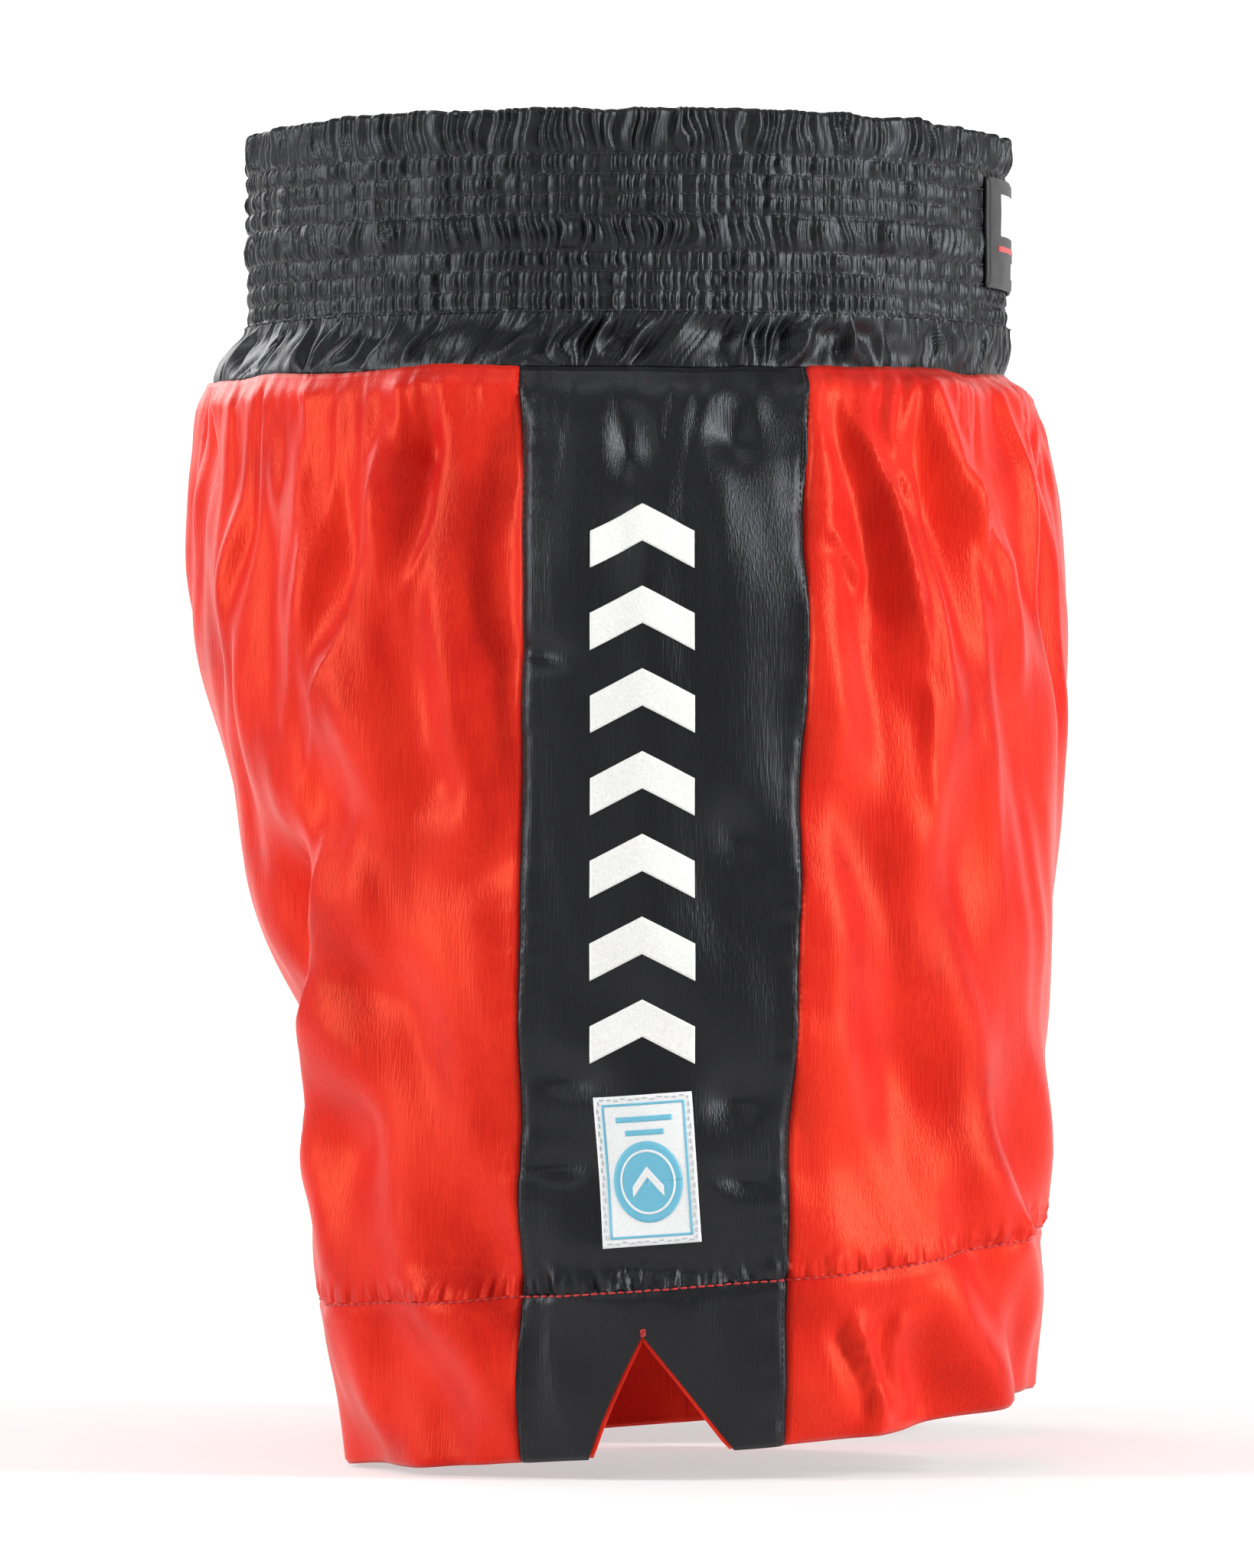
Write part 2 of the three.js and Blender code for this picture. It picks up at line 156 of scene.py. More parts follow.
def sample_grid(grid, row, column):
    """Bilinear reading of a (rows, columns, k) grid at fractional places."""
    r = np.clip(row, 0, grid.shape[0] - 1.0001)
    c = np.clip(column, 0, grid.shape[1] - 1.0001)
    r0, c0 = np.floor(r).astype(int), np.floor(c).astype(int)
    fr, fc = (r - r0)[..., None], (c - c0)[..., None]
    low = grid[r0, c0] * (1 - fc) + grid[r0, c0 + 1] * fc
    high = grid[r0 + 1, c0] * (1 - fc) + grid[r0 + 1, c0 + 1] * fc
    return low * (1 - fr) + high * fr


def refine(grid, factor):
    """The same grid with factor times as many cells each way, through its own points, smoothly."""
    for axis in (0, 1):
        g = np.moveaxis(grid, axis, 0)
        padded = np.concatenate([2 * g[:1] - g[1:2], g, 2 * g[-1:] - g[-2:-1]])
        p0, p1, p2, p3 = padded[:-3], padded[1:-2], padded[2:-1], padded[3:]
        steps = []
        for k in range(factor):
            t = k / factor
            steps.append(
                0.5 * (2 * p1 + (p2 - p0) * t + (2 * p0 - 5 * p1 + 4 * p2 - p3) * t * t
                       + (3 * p1 - p0 - 3 * p2 + p3) * t**3)
            )
        fine = np.stack(steps, 1).reshape(-1, *g.shape[1:])
        grid = np.moveaxis(np.concatenate([fine, g[-1:]]), 0, axis)
    return grid


def finish_piece(obj, replaced=(), thickness=0.0, finish=None):
    """Gives a piece its thickness and material and hangs it on the one body of the shorts."""
    if thickness:
        wall = obj.modifiers.new("thickness", "SOLIDIFY")
        wall.thickness = thickness * MM
        wall.offset = -1
    if finish is not None:
        obj.data.materials.clear()
        obj.data.materials.append(finish)
    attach(obj, "root")
    if replaced:
        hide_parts(*replaced)
    return obj


# %% [markdown]
# ## Finishes
# Woven satin is a polyester cloth whose long warp floats lie side by side on the face. They give a
# broad, soft gloss that takes the cloth's own colour, and fine upright streaks. A sheen and a tinted
# reflection make the gloss, and a stretched noise a fraction of a millimetre wide makes the streaks.
# The hem's stitches draw the cloth up into puckers a few millimetres wide. The larger ones are in
# the mesh; the finest are a bump that follows the cloth's own coordinates just above that line.


# %% Node helper and colours
def add_node(tree, kind, settings=None, **inputs):
    """Adds a node. Settings are its properties; inputs are values or sockets, by name or by number."""
    node = tree.nodes.new(kind)
    for key, value in (settings or {}).items():
        setattr(node, key, value)
    for key, value in inputs.items():
        numbered = key[0] == "i" and key[1:].isdigit()
        socket = node.inputs[int(key[1:]) if numbered else key.replace("_", " ")]
        if isinstance(value, bpy.types.NodeSocket):
            tree.links.new(value, socket)
        else:
            socket.default_value = value
    return node


def linear(hex_colour):
    """An sRGB hex colour as linear red, green, blue and alpha."""
    parts = [int(hex_colour[k : k + 2], 16) / 255 for k in (1, 3, 5)]
    return (*[c / 12.92 if c <= 0.04045 else ((c + 0.055) / 1.055) ** 2.4 for c in parts], 1.0)


def new_finish(name):
    material = bpy.data.materials.new(name)
    material.use_nodes = True
    tree = material.node_tree
    tree.nodes.clear()
    output = add_node(tree, "ShaderNodeOutputMaterial")
    shader = add_node(tree, "ShaderNodeBsdfPrincipled")
    tree.links.new(shader.outputs["BSDF"], output.inputs["Surface"])
    return material, tree, shader


# %% Woven satin
FLOAT_WIDTH = 0.00055  # metres; real floats are 0.1 mm wide, drawn coarser so that they show
FLOAT_LENGTH = 0.012
CLOUDS = 26.0  # cycles per metre of the dye's unevenness
PUCKER_WIDTH = 0.0034  # metres between two puckers drawn up by the hem's line of stitches
PUCKER_HEIGHT = 0.03
PUCKERS_START, PUCKERS_PEAK, PUCKERS_END = 0.0488, 0.05, 0.057  # metres above the hem


def hem_puckers(tree, under):
    """A normal that adds the fine puckers above the hem's stitches to the normal under them."""
    times = {"operation": "MULTIPLY"}
    soft = {"interpolation_type": "SMOOTHSTEP"}
    cloth = add_node(tree, "ShaderNodeUVMap", {"uv_map": "cloth"}).outputs["UV"]
    up = add_node(tree, "ShaderNodeSeparateXYZ", i0=cloth).outputs["Y"]
    grow = add_node(tree, "ShaderNodeMapRange", soft, Value=up,
                    From_Min=PUCKERS_START, From_Max=PUCKERS_PEAK)
    fade = add_node(tree, "ShaderNodeMapRange", soft, Value=up, From_Min=PUCKERS_PEAK, From_Max=PUCKERS_END,
                    To_Min=1.0, To_Max=0.0)
    zone = add_node(tree, "ShaderNodeMath", times, i0=grow.outputs[0], i1=fade.outputs[0])
    stretch = (1 / PUCKER_WIDTH, 1 / PUCKER_HEIGHT, 1)
    pinched = add_node(tree, "ShaderNodeMapping", i0=cloth, Scale=stretch).outputs[0]
    scallops = add_node(tree, "ShaderNodeTexNoise", Vector=pinched, Scale=1.0, Detail=0.6).outputs["Fac"]
    level = add_node(tree, "ShaderNodeMath", {"operation": "SUBTRACT"}, i0=scallops, i1=0.5)
    drawn = add_node(tree, "ShaderNodeMath", times, i0=zone.outputs[0], i1=level.outputs[0]).outputs[0]
    bump = add_node(tree, "ShaderNodeBump", Strength=1.0, Distance=0.004, Height=drawn, Normal=under)
    return bump.outputs[0]


def woven_satin(name, base, dark, light, roughness, gloss, sheen, tint):
    """Warp-faced polyester satin: tinted gloss, upright streaks and a slight unevenness of dye."""
    material, tree, shader = new_finish(name)
    place = add_node(tree, "ShaderNodeTexCoord").outputs["Object"]
    stretch = (1 / FLOAT_WIDTH, 1 / FLOAT_WIDTH, 1 / FLOAT_LENGTH)
    along = add_node(tree, "ShaderNodeMapping", i0=place, Scale=stretch).outputs[0]
    floats = add_node(tree, "ShaderNodeTexNoise", Vector=along, Scale=1.0, Detail=2.0).outputs["Fac"]
    cloud = add_node(tree, "ShaderNodeTexNoise", Vector=place, Scale=CLOUDS, Detail=3.0).outputs["Fac"]
    mixed = add_node(tree, "ShaderNodeMath", {"operation": "MULTIPLY_ADD"}, i0=floats, i1=0.45, i2=cloud)
    ramp = add_node(tree, "ShaderNodeValToRGB", Fac=mixed.outputs[0])
    ramp.color_ramp.elements[0].position = 0.45
    ramp.color_ramp.elements[0].color = linear(dark)
    ramp.color_ramp.elements[1].position = 0.95
    ramp.color_ramp.elements[1].color = linear(light)
    middle = ramp.color_ramp.elements.new(0.7)
    middle.color = linear(base)
    tree.links.new(ramp.outputs["Color"], shader.inputs["Base Color"])
    bump = add_node(tree, "ShaderNodeBump", Strength=0.4, Distance=0.0004, Height=floats)
    tree.links.new(hem_puckers(tree, bump.outputs[0]), shader.inputs["Normal"])
    shader.inputs["Roughness"].default_value = roughness
    shader.inputs["IOR"].default_value = 1.5
    shader.inputs["Specular IOR Level"].default_value = gloss
    shader.inputs["Specular Tint"].default_value = linear(tint)
    shader.inputs["Sheen Weight"].default_value = sheen
    shader.inputs["Sheen Roughness"].default_value = 0.4
    shader.inputs["Sheen Tint"].default_value = linear(tint)
    return material


red_satin = woven_satin("woven_polyester_satin_red", "#D1231D", "#B61716", "#E03124",
                        roughness=0.37, gloss=0.66, sheen=0.09, tint="#FF7A40")
black_satin = woven_satin("woven_polyester_satin_black", "#070709", "#040405", "#0C0C0E",
                          roughness=0.4, gloss=0.54, sheen=0.03, tint="#D8DAE2")
print("satins", red_satin.name, black_satin.name)

# %% [markdown]
# ## Thread, knit, vinyl and label
# Spun thread is dull and slightly furry, so it has a grain and some sheen. Knitted elastic is
# duller still, with a coarser grain. Heat-pressed vinyl and the pressed rubber patch are smooth
# plastics with a faint orange peel, which gives them a broad plain gloss. A damask label is woven
# so finely that only its matt grain shows. One function makes them all, with the grain's real size.


# %% Plain finishes
def plain_finish(name, colour, roughness, grain_mm, strength, sheen=0.0):
    """Thread, knit, vinyl or moulded trim: one colour broken up by a grain of its own size."""
    material, tree, shader = new_finish(name)
    place = add_node(tree, "ShaderNodeTexCoord").outputs["Object"]
    size = 1 / (grain_mm * MM)
    grain = add_node(tree, "ShaderNodeTexNoise", Vector=place, Scale=size, Detail=3.0).outputs["Fac"]
    base = linear(colour)
    ramp = add_node(tree, "ShaderNodeValToRGB", Fac=grain)
    ramp.color_ramp.elements[0].position = 0.3
    ramp.color_ramp.elements[0].color = (*[c * 0.82 for c in base[:3]], 1)
    ramp.color_ramp.elements[1].position = 0.7
    ramp.color_ramp.elements[1].color = base
    tree.links.new(ramp.outputs["Color"], shader.inputs["Base Color"])
    bump = add_node(tree, "ShaderNodeBump", Strength=strength, Distance=0.0003, Height=grain)
    tree.links.new(bump.outputs[0], shader.inputs["Normal"])
    shader.inputs["Roughness"].default_value = roughness
    shader.inputs["Sheen Weight"].default_value = sheen
    return material


knit_elastic = plain_finish("knitted_rubber_elastic", "#1C1C1E", 0.85, 0.9, 0.6, 0.3)
black_thread = plain_finish("spun_polyester_thread_black", "#0E0E10", 0.6, 0.25, 0.5, 0.2)
red_thread = plain_finish("spun_polyester_thread_red", "#C41A1C", 0.55, 0.25, 0.5, 0.2)
grey_thread = plain_finish("spun_polyester_thread_grey", "#B9BBC2", 0.55, 0.25, 0.5, 0.2)
white_vinyl = plain_finish("heat_pressed_vinyl_white", "#F4F4F0", 0.45, 0.6, 0.12)
woven_white = plain_finish("damask_woven_label_white", "#F2F4F4", 0.5, 0.35, 0.5, 0.2)
woven_blue = plain_finish("damask_woven_label_blue", "#6CBFDA", 0.5, 0.35, 0.5, 0.2)
patch_black = plain_finish("pressed_rubber_patch_black", "#101012", 0.5, 0.5, 0.3)
patch_red = plain_finish("pressed_rubber_patch_red", "#C8201F", 0.45, 0.5, 0.2)
print("finishes", len(bpy.data.materials))

# %% [markdown]
# ## The body's form
# Two ovals, one for each leg, touch at the crotch and merge above it. Each height has four values:
# half the whole width, the middle of a leg, and how far the back and the front reach. A smooth
# curve joins them. The hem rises from back to front.

# %% Form of the body
SEAM_HEIGHT = 329.0
HEM_RISE = 22.0
HEM_EVEN = 0.65  # share of the rise spread evenly; the rest turns up at the front
HEM_TURN_UP = 8
CROTCH_HEIGHT = 96.0
ORIGIN_SHIFT = -1.0  # the frame's origin is under the middle of the box
HEIGHTS = np.array([0, 45, 96, 150, 200, 244, 275, 304, 318, 329.0])
HALF_WIDTH = np.array([176, 180, 183, 182.5, 181, 179, 176.5, 168, 162, 154.0])
LEG_MIDDLE = np.array([93, 93.5, 91.5, 76, 56, 36, 22, 6, 1, 0.0])
BACK = np.array([84, 92.5, 98.5, 109, 120.5, 130, 134.5, 133.5, 132.5, 130.0])
FRONT = np.array([-123, -124.5, -128, -129, -133, -134, -132.5, -129, -126, -118.0])
STRIPE_BACK = 31.0
STRIPE_FRONT_TOP = -54.0
STRIPE_FRONT_HEM = -48.0


def curve_through(x, xs, ys):
    """A smooth curve through the points (xs, ys), read at x."""
    slope = np.gradient(ys, xs)
    i = np.clip(np.searchsorted(xs, x) - 1, 0, len(xs) - 2)
    span = xs[i + 1] - xs[i]
    t = (x - xs[i]) / span
    rise = slope[i] * span * (t**3 - 2 * t**2 + t) + slope[i + 1] * span * (t**3 - t**2)
    return ys[i] * (2 * t**3 - 3 * t**2 + 1) + ys[i + 1] * (3 * t**2 - 2 * t**3) + rise


def section(height):
    """Middle of the leg, half width, half depth and middle in Y of the oval at a height."""
    centre = np.maximum(curve_through(height, HEIGHTS, LEG_MIDDLE), 0)
    half = curve_through(height, HEIGHTS, HALF_WIDTH)
    back = curve_through(height, HEIGHTS, BACK)
    front = curve_through(height, HEIGHTS, FRONT)
    return centre, half - centre, (back - front) / 2, (back + front) / 2 + ORIGIN_SHIFT


def last_angle(height):
    """Where a half ends: at the body's middle, or at the inseam below the crotch."""
    centre, width, _, _ = section(height)
    return np.arccos(-np.clip(centre / width, 0, 1))


def on_leg(angle, height):
    """Points of the right half: the angle is 0 at its outer side and grows towards the back."""
    centre, width, depth, middle = section(height)
    return np.stack([-(centre + width * np.cos(angle)), middle + depth * np.sin(angle), height], -1)


def hem_height(angle):
    """The hem's height round the leg: it turns up towards the front."""
    forward = (1 - np.sin(angle)) / 2
    return HEM_RISE * (HEM_EVEN * forward + (1 - HEM_EVEN) * forward**HEM_TURN_UP)


def seam_wave(points, below_seam):
    """How far the waist seam strays up and down, fading below it and above it."""
    stray = 0.5 * waves(points[..., 0], points[..., 1], 55, 55, 31)
    return stray * (1 - smoothstep(0, 14, np.abs(below_seam)))


def stripe_angles(height):
    """The angles of the stripe's back and front edges."""
    _, _, depth, middle = section(height)
    front = STRIPE_FRONT_HEM + (STRIPE_FRONT_TOP - STRIPE_FRONT_HEM) * smoothstep(0, 260, height)
    return np.arcsin((STRIPE_BACK - middle) / depth), np.arcsin((front - middle) / depth)


# %% [markdown]
# ## The cutting grid
# One half of the body is a grid: columns run from the back seam round the outside to the front
# seam, and rows run from hem to waist. Whole columns fall on the stripe's two seams, so the draped
# cloth can be cut into its real panels afterwards without moving a point.

# %% Grid of one half
BACK_CELLS, STRIPE_CELLS, FRONT_CELLS = 52, 17, 44
ROWS_BELOW, ROWS_ABOVE = 18, 48  # below and above the crotch
FINER = 3
CELLS = BACK_CELLS + STRIPE_CELLS + FRONT_CELLS
crotch_share = (CROTCH_HEIGHT - HEM_RISE / 2) / (SEAM_HEIGHT - HEM_RISE / 2)
row_share = np.concatenate(
    [np.linspace(0, crotch_share, ROWS_BELOW + 1)[:-1], np.linspace(crotch_share, 1, ROWS_ABOVE + 1)]
)
joints = [0, BACK_CELLS, BACK_CELLS + STRIPE_CELLS, CELLS]


def half_angles():
    """Angle and height of every point of a half, row by row from the hem up."""
    share = row_share[:, None] * np.ones(CELLS + 1)
    column = np.arange(CELLS + 1.0)
    height = share * SEAM_HEIGHT
    for _ in range(8):
        end = last_angle(height)
        stripe_back, stripe_front = stripe_angles(height)
        stops = [end, stripe_back, stripe_front, -end]
        angle = np.zeros_like(height)
        for k in range(3):
            t = (column - joints[k]) / (joints[k + 1] - joints[k])
            inside = (t >= 0) & (t <= 1)
            angle[:, inside] = (stops[k] * (1 - t) + stops[k + 1] * t)[:, inside]
        hem = hem_height(angle)
        height = hem + share * (SEAM_HEIGHT - hem)
    return angle, height


angle_grid, height_grid = half_angles()
right_half = on_leg(angle_grid, height_grid)
print("grid of a half", right_half.shape)

# %% [markdown]
# ## Draping the satin
# The panels are cut wider than the body, most of all at the waist, where the width is gathered into
# the seam. Folds could be drawn by hand, but a cloth solver places them more truly. The cloth
# starts on the smooth form with a slight ripple, its rest shape is the wider cut, and the solver
# finds where the spare width goes: into soft folds that fade towards the hem. The waist seam is
# pinned, and a weak hold elsewhere stands for the body that fills the shorts.

# %% Weld the two halves into one net
left_half = right_half * np.array([-1, 1, 1])
rows, columns = right_half.shape[:2]
ids_right = np.arange(rows * columns).reshape(rows, columns)
ids_left = ids_right + rows * columns
ids_left[ROWS_BELOW:, 0] = ids_right[ROWS_BELOW:, 0]
ids_left[ROWS_BELOW:, -1] = ids_right[ROWS_BELOW:, -1]
ids_right[: ROWS_BELOW + 1, -1] = ids_right[: ROWS_BELOW + 1, 0]
ids_left[: ROWS_BELOW + 1, -1] = ids_left[: ROWS_BELOW + 1, 0]
both = np.concatenate([ids_right.ravel(), ids_left.ravel()])
used, compact = np.unique(both, return_inverse=True)
ids_right = compact[: rows * columns].reshape(rows, columns)
ids_left = compact[rows * columns :].reshape(rows, columns)


def to_net(right, left):
    """Values of the two halves as values of the welded net's points."""
    net = np.zeros((len(used), *right.shape[2:]))
    net[ids_left.ravel()] = left.reshape(-1, *right.shape[2:])
    net[ids_right.ravel()] = right.reshape(-1, *right.shape[2:])
    return net


def net_faces(ids):
    """The quads of one half, by the net's numbers of its points."""
    return np.stack([ids[:-1, :-1], ids[:-1, 1:], ids[1:, 1:], ids[1:, :-1]], -1).reshape(-1, 4)


net = to_net(right_half, left_half)
net_quads = np.concatenate([net_faces(ids_right), net_faces(ids_left)[:, ::-1]])
print("net of", len(net), "points and", len(net_quads), "cells")


# %% The cut is wider than the form
EASE_AT_HEM, EASE_AT_HIP, EASE_AT_WAIST = 0.006, 0.022, 0.085  # each adds to the one before


def wider_cut(half):
    """Rest positions: each point moves out from the leg's or the body's middle."""
    height = half[..., 2]
    centre, _, _, middle = section(height)
    spare = EASE_AT_HEM + EASE_AT_HIP * smoothstep(120, 290, height)
    spare = spare + EASE_AT_WAIST * smoothstep(270, SEAM_HEIGHT, height)
    uneven = 1 + 0.7 * waves(half[..., 1], height, 130, 260, 21)
    spare = spare * uneven * smoothstep(0, 25, np.abs(half[..., 0]))
    about = centre * (1 - smoothstep(100, 220, height)) * np.sign(half[..., 0])
    rest = half.copy()
    rest[..., 0] = about + (half[..., 0] - about) * (1 + spare)
    rest[..., 1] = middle + (half[..., 1] - middle) * (1 + spare)
    return rest


def start_ripple(half):
    """A slight waviness, so that the spare width has somewhere to start folding."""
    y, z = half[..., 1], half[..., 2]
    ripple = 1.2 * waves(y + 0.25 * z, z, 55, 240, 3)
    ripple = ripple + 0.5 * waves(y, z, 26, 140, 4) * smoothstep(200, 320, z)
    facing = np.array([-np.sign(half[0, columns // 2, 0]), 1, 1])
    return half + grid_normals(right_half) * ripple[..., None] * facing


rest_net = to_net(wider_cut(right_half), wider_cut(left_half))
start_net = to_net(start_ripple(right_half), start_ripple(left_half))
hold_half = 0.02 + 0.05 * (1 - smoothstep(0, 55, height_grid))
hold_half[-1] = 1.0
hold = to_net(hold_half, hold_half)


# %% Run the cloth
def drape(points, rest, quads, weights, frames):
    """Steps Blender's cloth from points towards its rest shape and returns where it settles."""
    cloth = make_mesh("cloth_net", points, quads)
    cloth.shape_key_add(name="Basis")
    cut = cloth.shape_key_add(name="Cut")
    cut.data.foreach_set("co", (rest * MM).ravel())
    cut.value = 0
    group = cloth.vertex_groups.new(name="hold")
    levels = np.round(weights, 3)
    for level in np.unique(levels):
        group.add(np.nonzero(levels == level)[0].tolist(), float(level), "REPLACE")
    solver = cloth.modifiers.new("drape", "CLOTH")
    settings = solver.settings
    settings.quality = 6
    settings.mass = 0.12
    settings.tension_stiffness = 25
    settings.compression_stiffness = 25
    settings.shear_stiffness = 8
    settings.bending_stiffness = 0.35
    settings.tension_damping = 8
    settings.compression_damping = 8
    settings.shear_damping = 8
    settings.air_damping = 2
    settings.vertex_group_mass = "hold"
    settings.pin_stiffness = 1.0
    settings.rest_shape_key = cut
    solver.collision_settings.use_collision = False
    solver.collision_settings.use_self_collision = False
    solver.point_cache.frame_end = frames
    for number in range(1, frames + 1):
        bpy.context.scene.frame_set(number)
    settled = cloth.evaluated_get(bpy.context.evaluated_depsgraph_get()).to_mesh()
    out = np.empty(len(points) * 3, np.float32)
    settled.vertices.foreach_get("co", out)
    bpy.data.objects.remove(cloth)
    bpy.context.scene.frame_set(1)
    return out.reshape(-1, 3).astype(float) / MM


draped = drape(start_net, rest_net, net_quads, hold, 30)
print("draped; mean move", np.linalg.norm(draped - net, axis=1).mean().round(2), "mm")

# %% [markdown]
# ## Folds and sewing detail
# The draped net drifts off the form as a whole, which would lose the fitted outline. So only its
# folds are kept: its in-and-out movement less a blurred copy of itself. They are refined to cells
# under 2 mm. Then come the things that sewing adds: gathers that spread from the waist seam, a
# groove and puckers along each line of stitches, and the creases that satin keeps from being
# folded. Each is a height added along the form's normal.

# %% Folds that the drape found
FOLD_BLUR = 40  # passes; each spreads a fold by about one cell


def blurred(field, passes):
    """The field, smoothed a little more by each pass."""
    for _ in range(passes):
        for axis in (0, 1):
            ends = np.take(field, [0], axis), np.take(field, [-1], axis)
            longer = np.concatenate([ends[0], field, ends[1]], axis)
            before = np.take(longer, range(field.shape[axis]), axis)
            after = np.take(longer, range(2, field.shape[axis] + 2), axis)
            field = (before + 2 * field + after) / 4
    return field


def found_folds(ids, form, mirror):
    """The drape's in-and-out movement, less its slow drift: only the folds are left."""
    normal = grid_normals(right_half) * (np.array([-1, 1, 1]) if mirror else np.array([1, 1, 1]))
    moved = ((draped[ids] - form) * normal).sum(-1)
    return moved - blurred(moved, FOLD_BLUR)


fold_maps = {
    "right": found_folds(ids_right, right_half, False),
    "left": found_folds(ids_left, left_half, True),
}
print("folds of the right half", fold_maps["right"].std().round(2), "mm")

# %% Finer halves and their coordinates
HEM_STITCH = 49.0
FOLD_GAIN = 0.8
fine_angle = refine(angle_grid[..., None], FINER)[..., 0]
fine_form = refine(right_half, FINER)
side_y, side_z = fine_form[..., 1] - ORIGIN_SHIFT, fine_form[..., 2]
above_hem = side_z - hem_height(fine_angle)
below_seam = SEAM_HEIGHT - side_z
step = np.linalg.norm(np.diff(fine_form, axis=1), axis=-1)
arc = np.concatenate([np.zeros((len(step), 1)), np.cumsum(step, 1)], 1)
seam_back, seam_front = BACK_CELLS * FINER, (BACK_CELLS + STRIPE_CELLS) * FINER
arc = arc - arc[:, (seam_back + seam_front) // 2][:, None]
from_back_seam = arc - arc[:, seam_back][:, None]
from_front_seam = arc - arc[:, seam_front][:, None]
on_stripe = smoothstep(-2, 4, from_back_seam) * smoothstep(-2, 4, -from_front_seam)
faces_side = smoothstep(0.0, 0.3, np.cos(fine_angle))
from_ends = smoothstep(0, 9, arc - arc[:, :1]) * smoothstep(0, 9, arc[:, -1:] - arc)


def crease(start, end, height, width, sharp=1.0):
    """A ridge from one point to another of the side, given as (Y, Z): steep behind, soft in front."""
    (y0, z0), (y1, z1) = start, end
    length = math.hypot(y1 - y0, z1 - z0)
    ty, tz = (y1 - y0) / length, (z1 - z0) / length
    t = ((side_y - y0) * ty + (side_z - z0) * tz) / length
    off = (side_y - y0) * tz - (side_z - z0) * ty
    off = off + 2.0 * np.sin(t * 5 + y0)
    ends = smoothstep(-0.05, 0.25, t) * (1 - smoothstep(0.7, 1.1, t))
    soft = np.exp(-np.maximum(off, 0) / (width * 2.2))
    steep = np.exp(np.minimum(off, 0) * (1 + sharp) / width)
    hollow = 0.5 * bell(off + width * 1.5, width * 1.2)
    return height * ends * faces_side * (soft * steep - hollow)


def dent(y, z, depth, wide, tall, turn=0.0):
    """A soft hollow, wide by tall millimetres, turned by an angle in degrees."""
    c, s = math.cos(math.radians(turn)), math.sin(math.radians(turn))
    a, b = (side_y - y) * c + (side_z - z) * s, -(side_y - y) * s + (side_z - z) * c
    return -depth * faces_side * bell(a, wide) * bell(b, tall)


def waist_gathers(seed):
    """Gathers crowd at the seam and merge into fewer, wider folds further down."""
    fan = arc * (1 - 0.0004 * below_seam) + 0.06 * below_seam
    calm = 1 - 0.55 * on_stripe
    fine = 1.6 * np.exp(-below_seam / 13) * (pleats(fan, 6.5, seed) - 0.7)
    mid = 2.8 * np.exp(-below_seam / 36) * smoothstep(0, 9, below_seam)
    mid = mid * (pleats(fan + 4 * np.sin(below_seam / 30), 15, seed + 5) - 0.3)
    long = 2.4 * np.exp(-below_seam / 105) * smoothstep(4, 40, below_seam)
    long = long * waves(fan, below_seam, 36, 420, seed + 9)
    return (fine + mid + long) * calm


def hem_detail(seed):
    """The stitches' groove, puckers above it, a slack band below it and a rolled edge."""
    off = above_hem - HEM_STITCH
    groove = -0.75 * bell(off, 1.3)
    pucker = pleats(arc + 0.35 * off, 7.5, seed) - 0.6
    uneven = 0.9 + 0.8 * waves(arc, off, 60, 400, seed + 3)
    upper = 2.6 * pucker * bell(off - 2.5, 5.5) * smoothstep(-1, 1.5, off) * uneven
    band = 0.7 * smoothstep(0, -6, off) * waves(arc, off, 26, 130, seed + 6)
    rolled = -0.9 * (1 - smoothstep(0, 1.8, above_hem)) ** 2
    return groove + upper + band + rolled


def seam_detail(seed):
    """A groove at each seam of the stripe, a soft welt inside it and a little puckering."""
    total = 0
    for away in (from_back_seam, -from_front_seam):
        total = total - 0.6 * bell(away, 0.9) + 0.4 * bell(away - 3.0, 2.4)
        total = total + 0.35 * bell(away, 7) * waves(side_z, away, 13, 60, seed)
    return total


def soft_unevenness(seed):
    """Broad hollows and swells, deeper low down, where the cloth hangs free."""
    lower = 1 - smoothstep(120, 240, side_z)
    low = waves(arc + 0.3 * side_z, side_z, 78, 100, seed) * (2.6 + 0.9 * lower)
    low = low + waves(arc, side_z, 34, 60, seed + 1) * 0.45
    upright = waves(arc + 0.18 * side_z, side_z, 20, 240, seed + 2) * 0.35 * smoothstep(60, 200, side_z)
    return (low + upright) * (1 - 0.65 * on_stripe) * (0.4 + 0.6 * faces_side)


front_creases = (
    crease((-60, 324), (-91, 240), 2.6, 3.2)
    + crease((-87, 324), (-112, 251), 2.4, 3.0)
    + crease((-76, 322), (-84, 285), 1.6, 2.5)
    + crease((-100, 300), (-112, 262), 1.4, 2.5)
    + crease((-62, 282), (-70, 262), 1.3, 2.2)
    + crease((-84, 240), (-94, 190), 1.1, 3.0)
    + dent(-87, 113, 3.4, 22, 34, 12)
    + dent(-100, 178, 1.2, 10, 30, 8)
    + crease((-68, 50), (-74, 12), 1.5, 3.0)
    + crease((-82, 50), (-80, 20), 1.1, 3.0)
)
back_creases = (
    crease((72, 312), (97, 200), 2.4, 5.0, 0.4)
    + crease((96, 300), (104, 215), 1.6, 4.5, 0.4)
    + crease((52, 318), (66, 262), 1.5, 3.5)
    + dent(62, 306, 2.2, 6, 9, 20)
    + dent(57, 205, 1.7, 9, 8, 30)
    + dent(45, 179, 1.4, 8, 7, -20)
    + dent(77, 145, 1.5, 12, 9, 25)
    + dent(81, 101, 1.4, 9, 16, 10)
    + dent(52, 62, 1.2, 16, 6, 8)
    + crease((92, 196), (93, 88), 2.4, 6.0, 0.6)
    - 4.0 * bell(side_y - 102, 6) * smoothstep(80, 110, side_z) * (1 - smoothstep(165, 205, side_z))
)
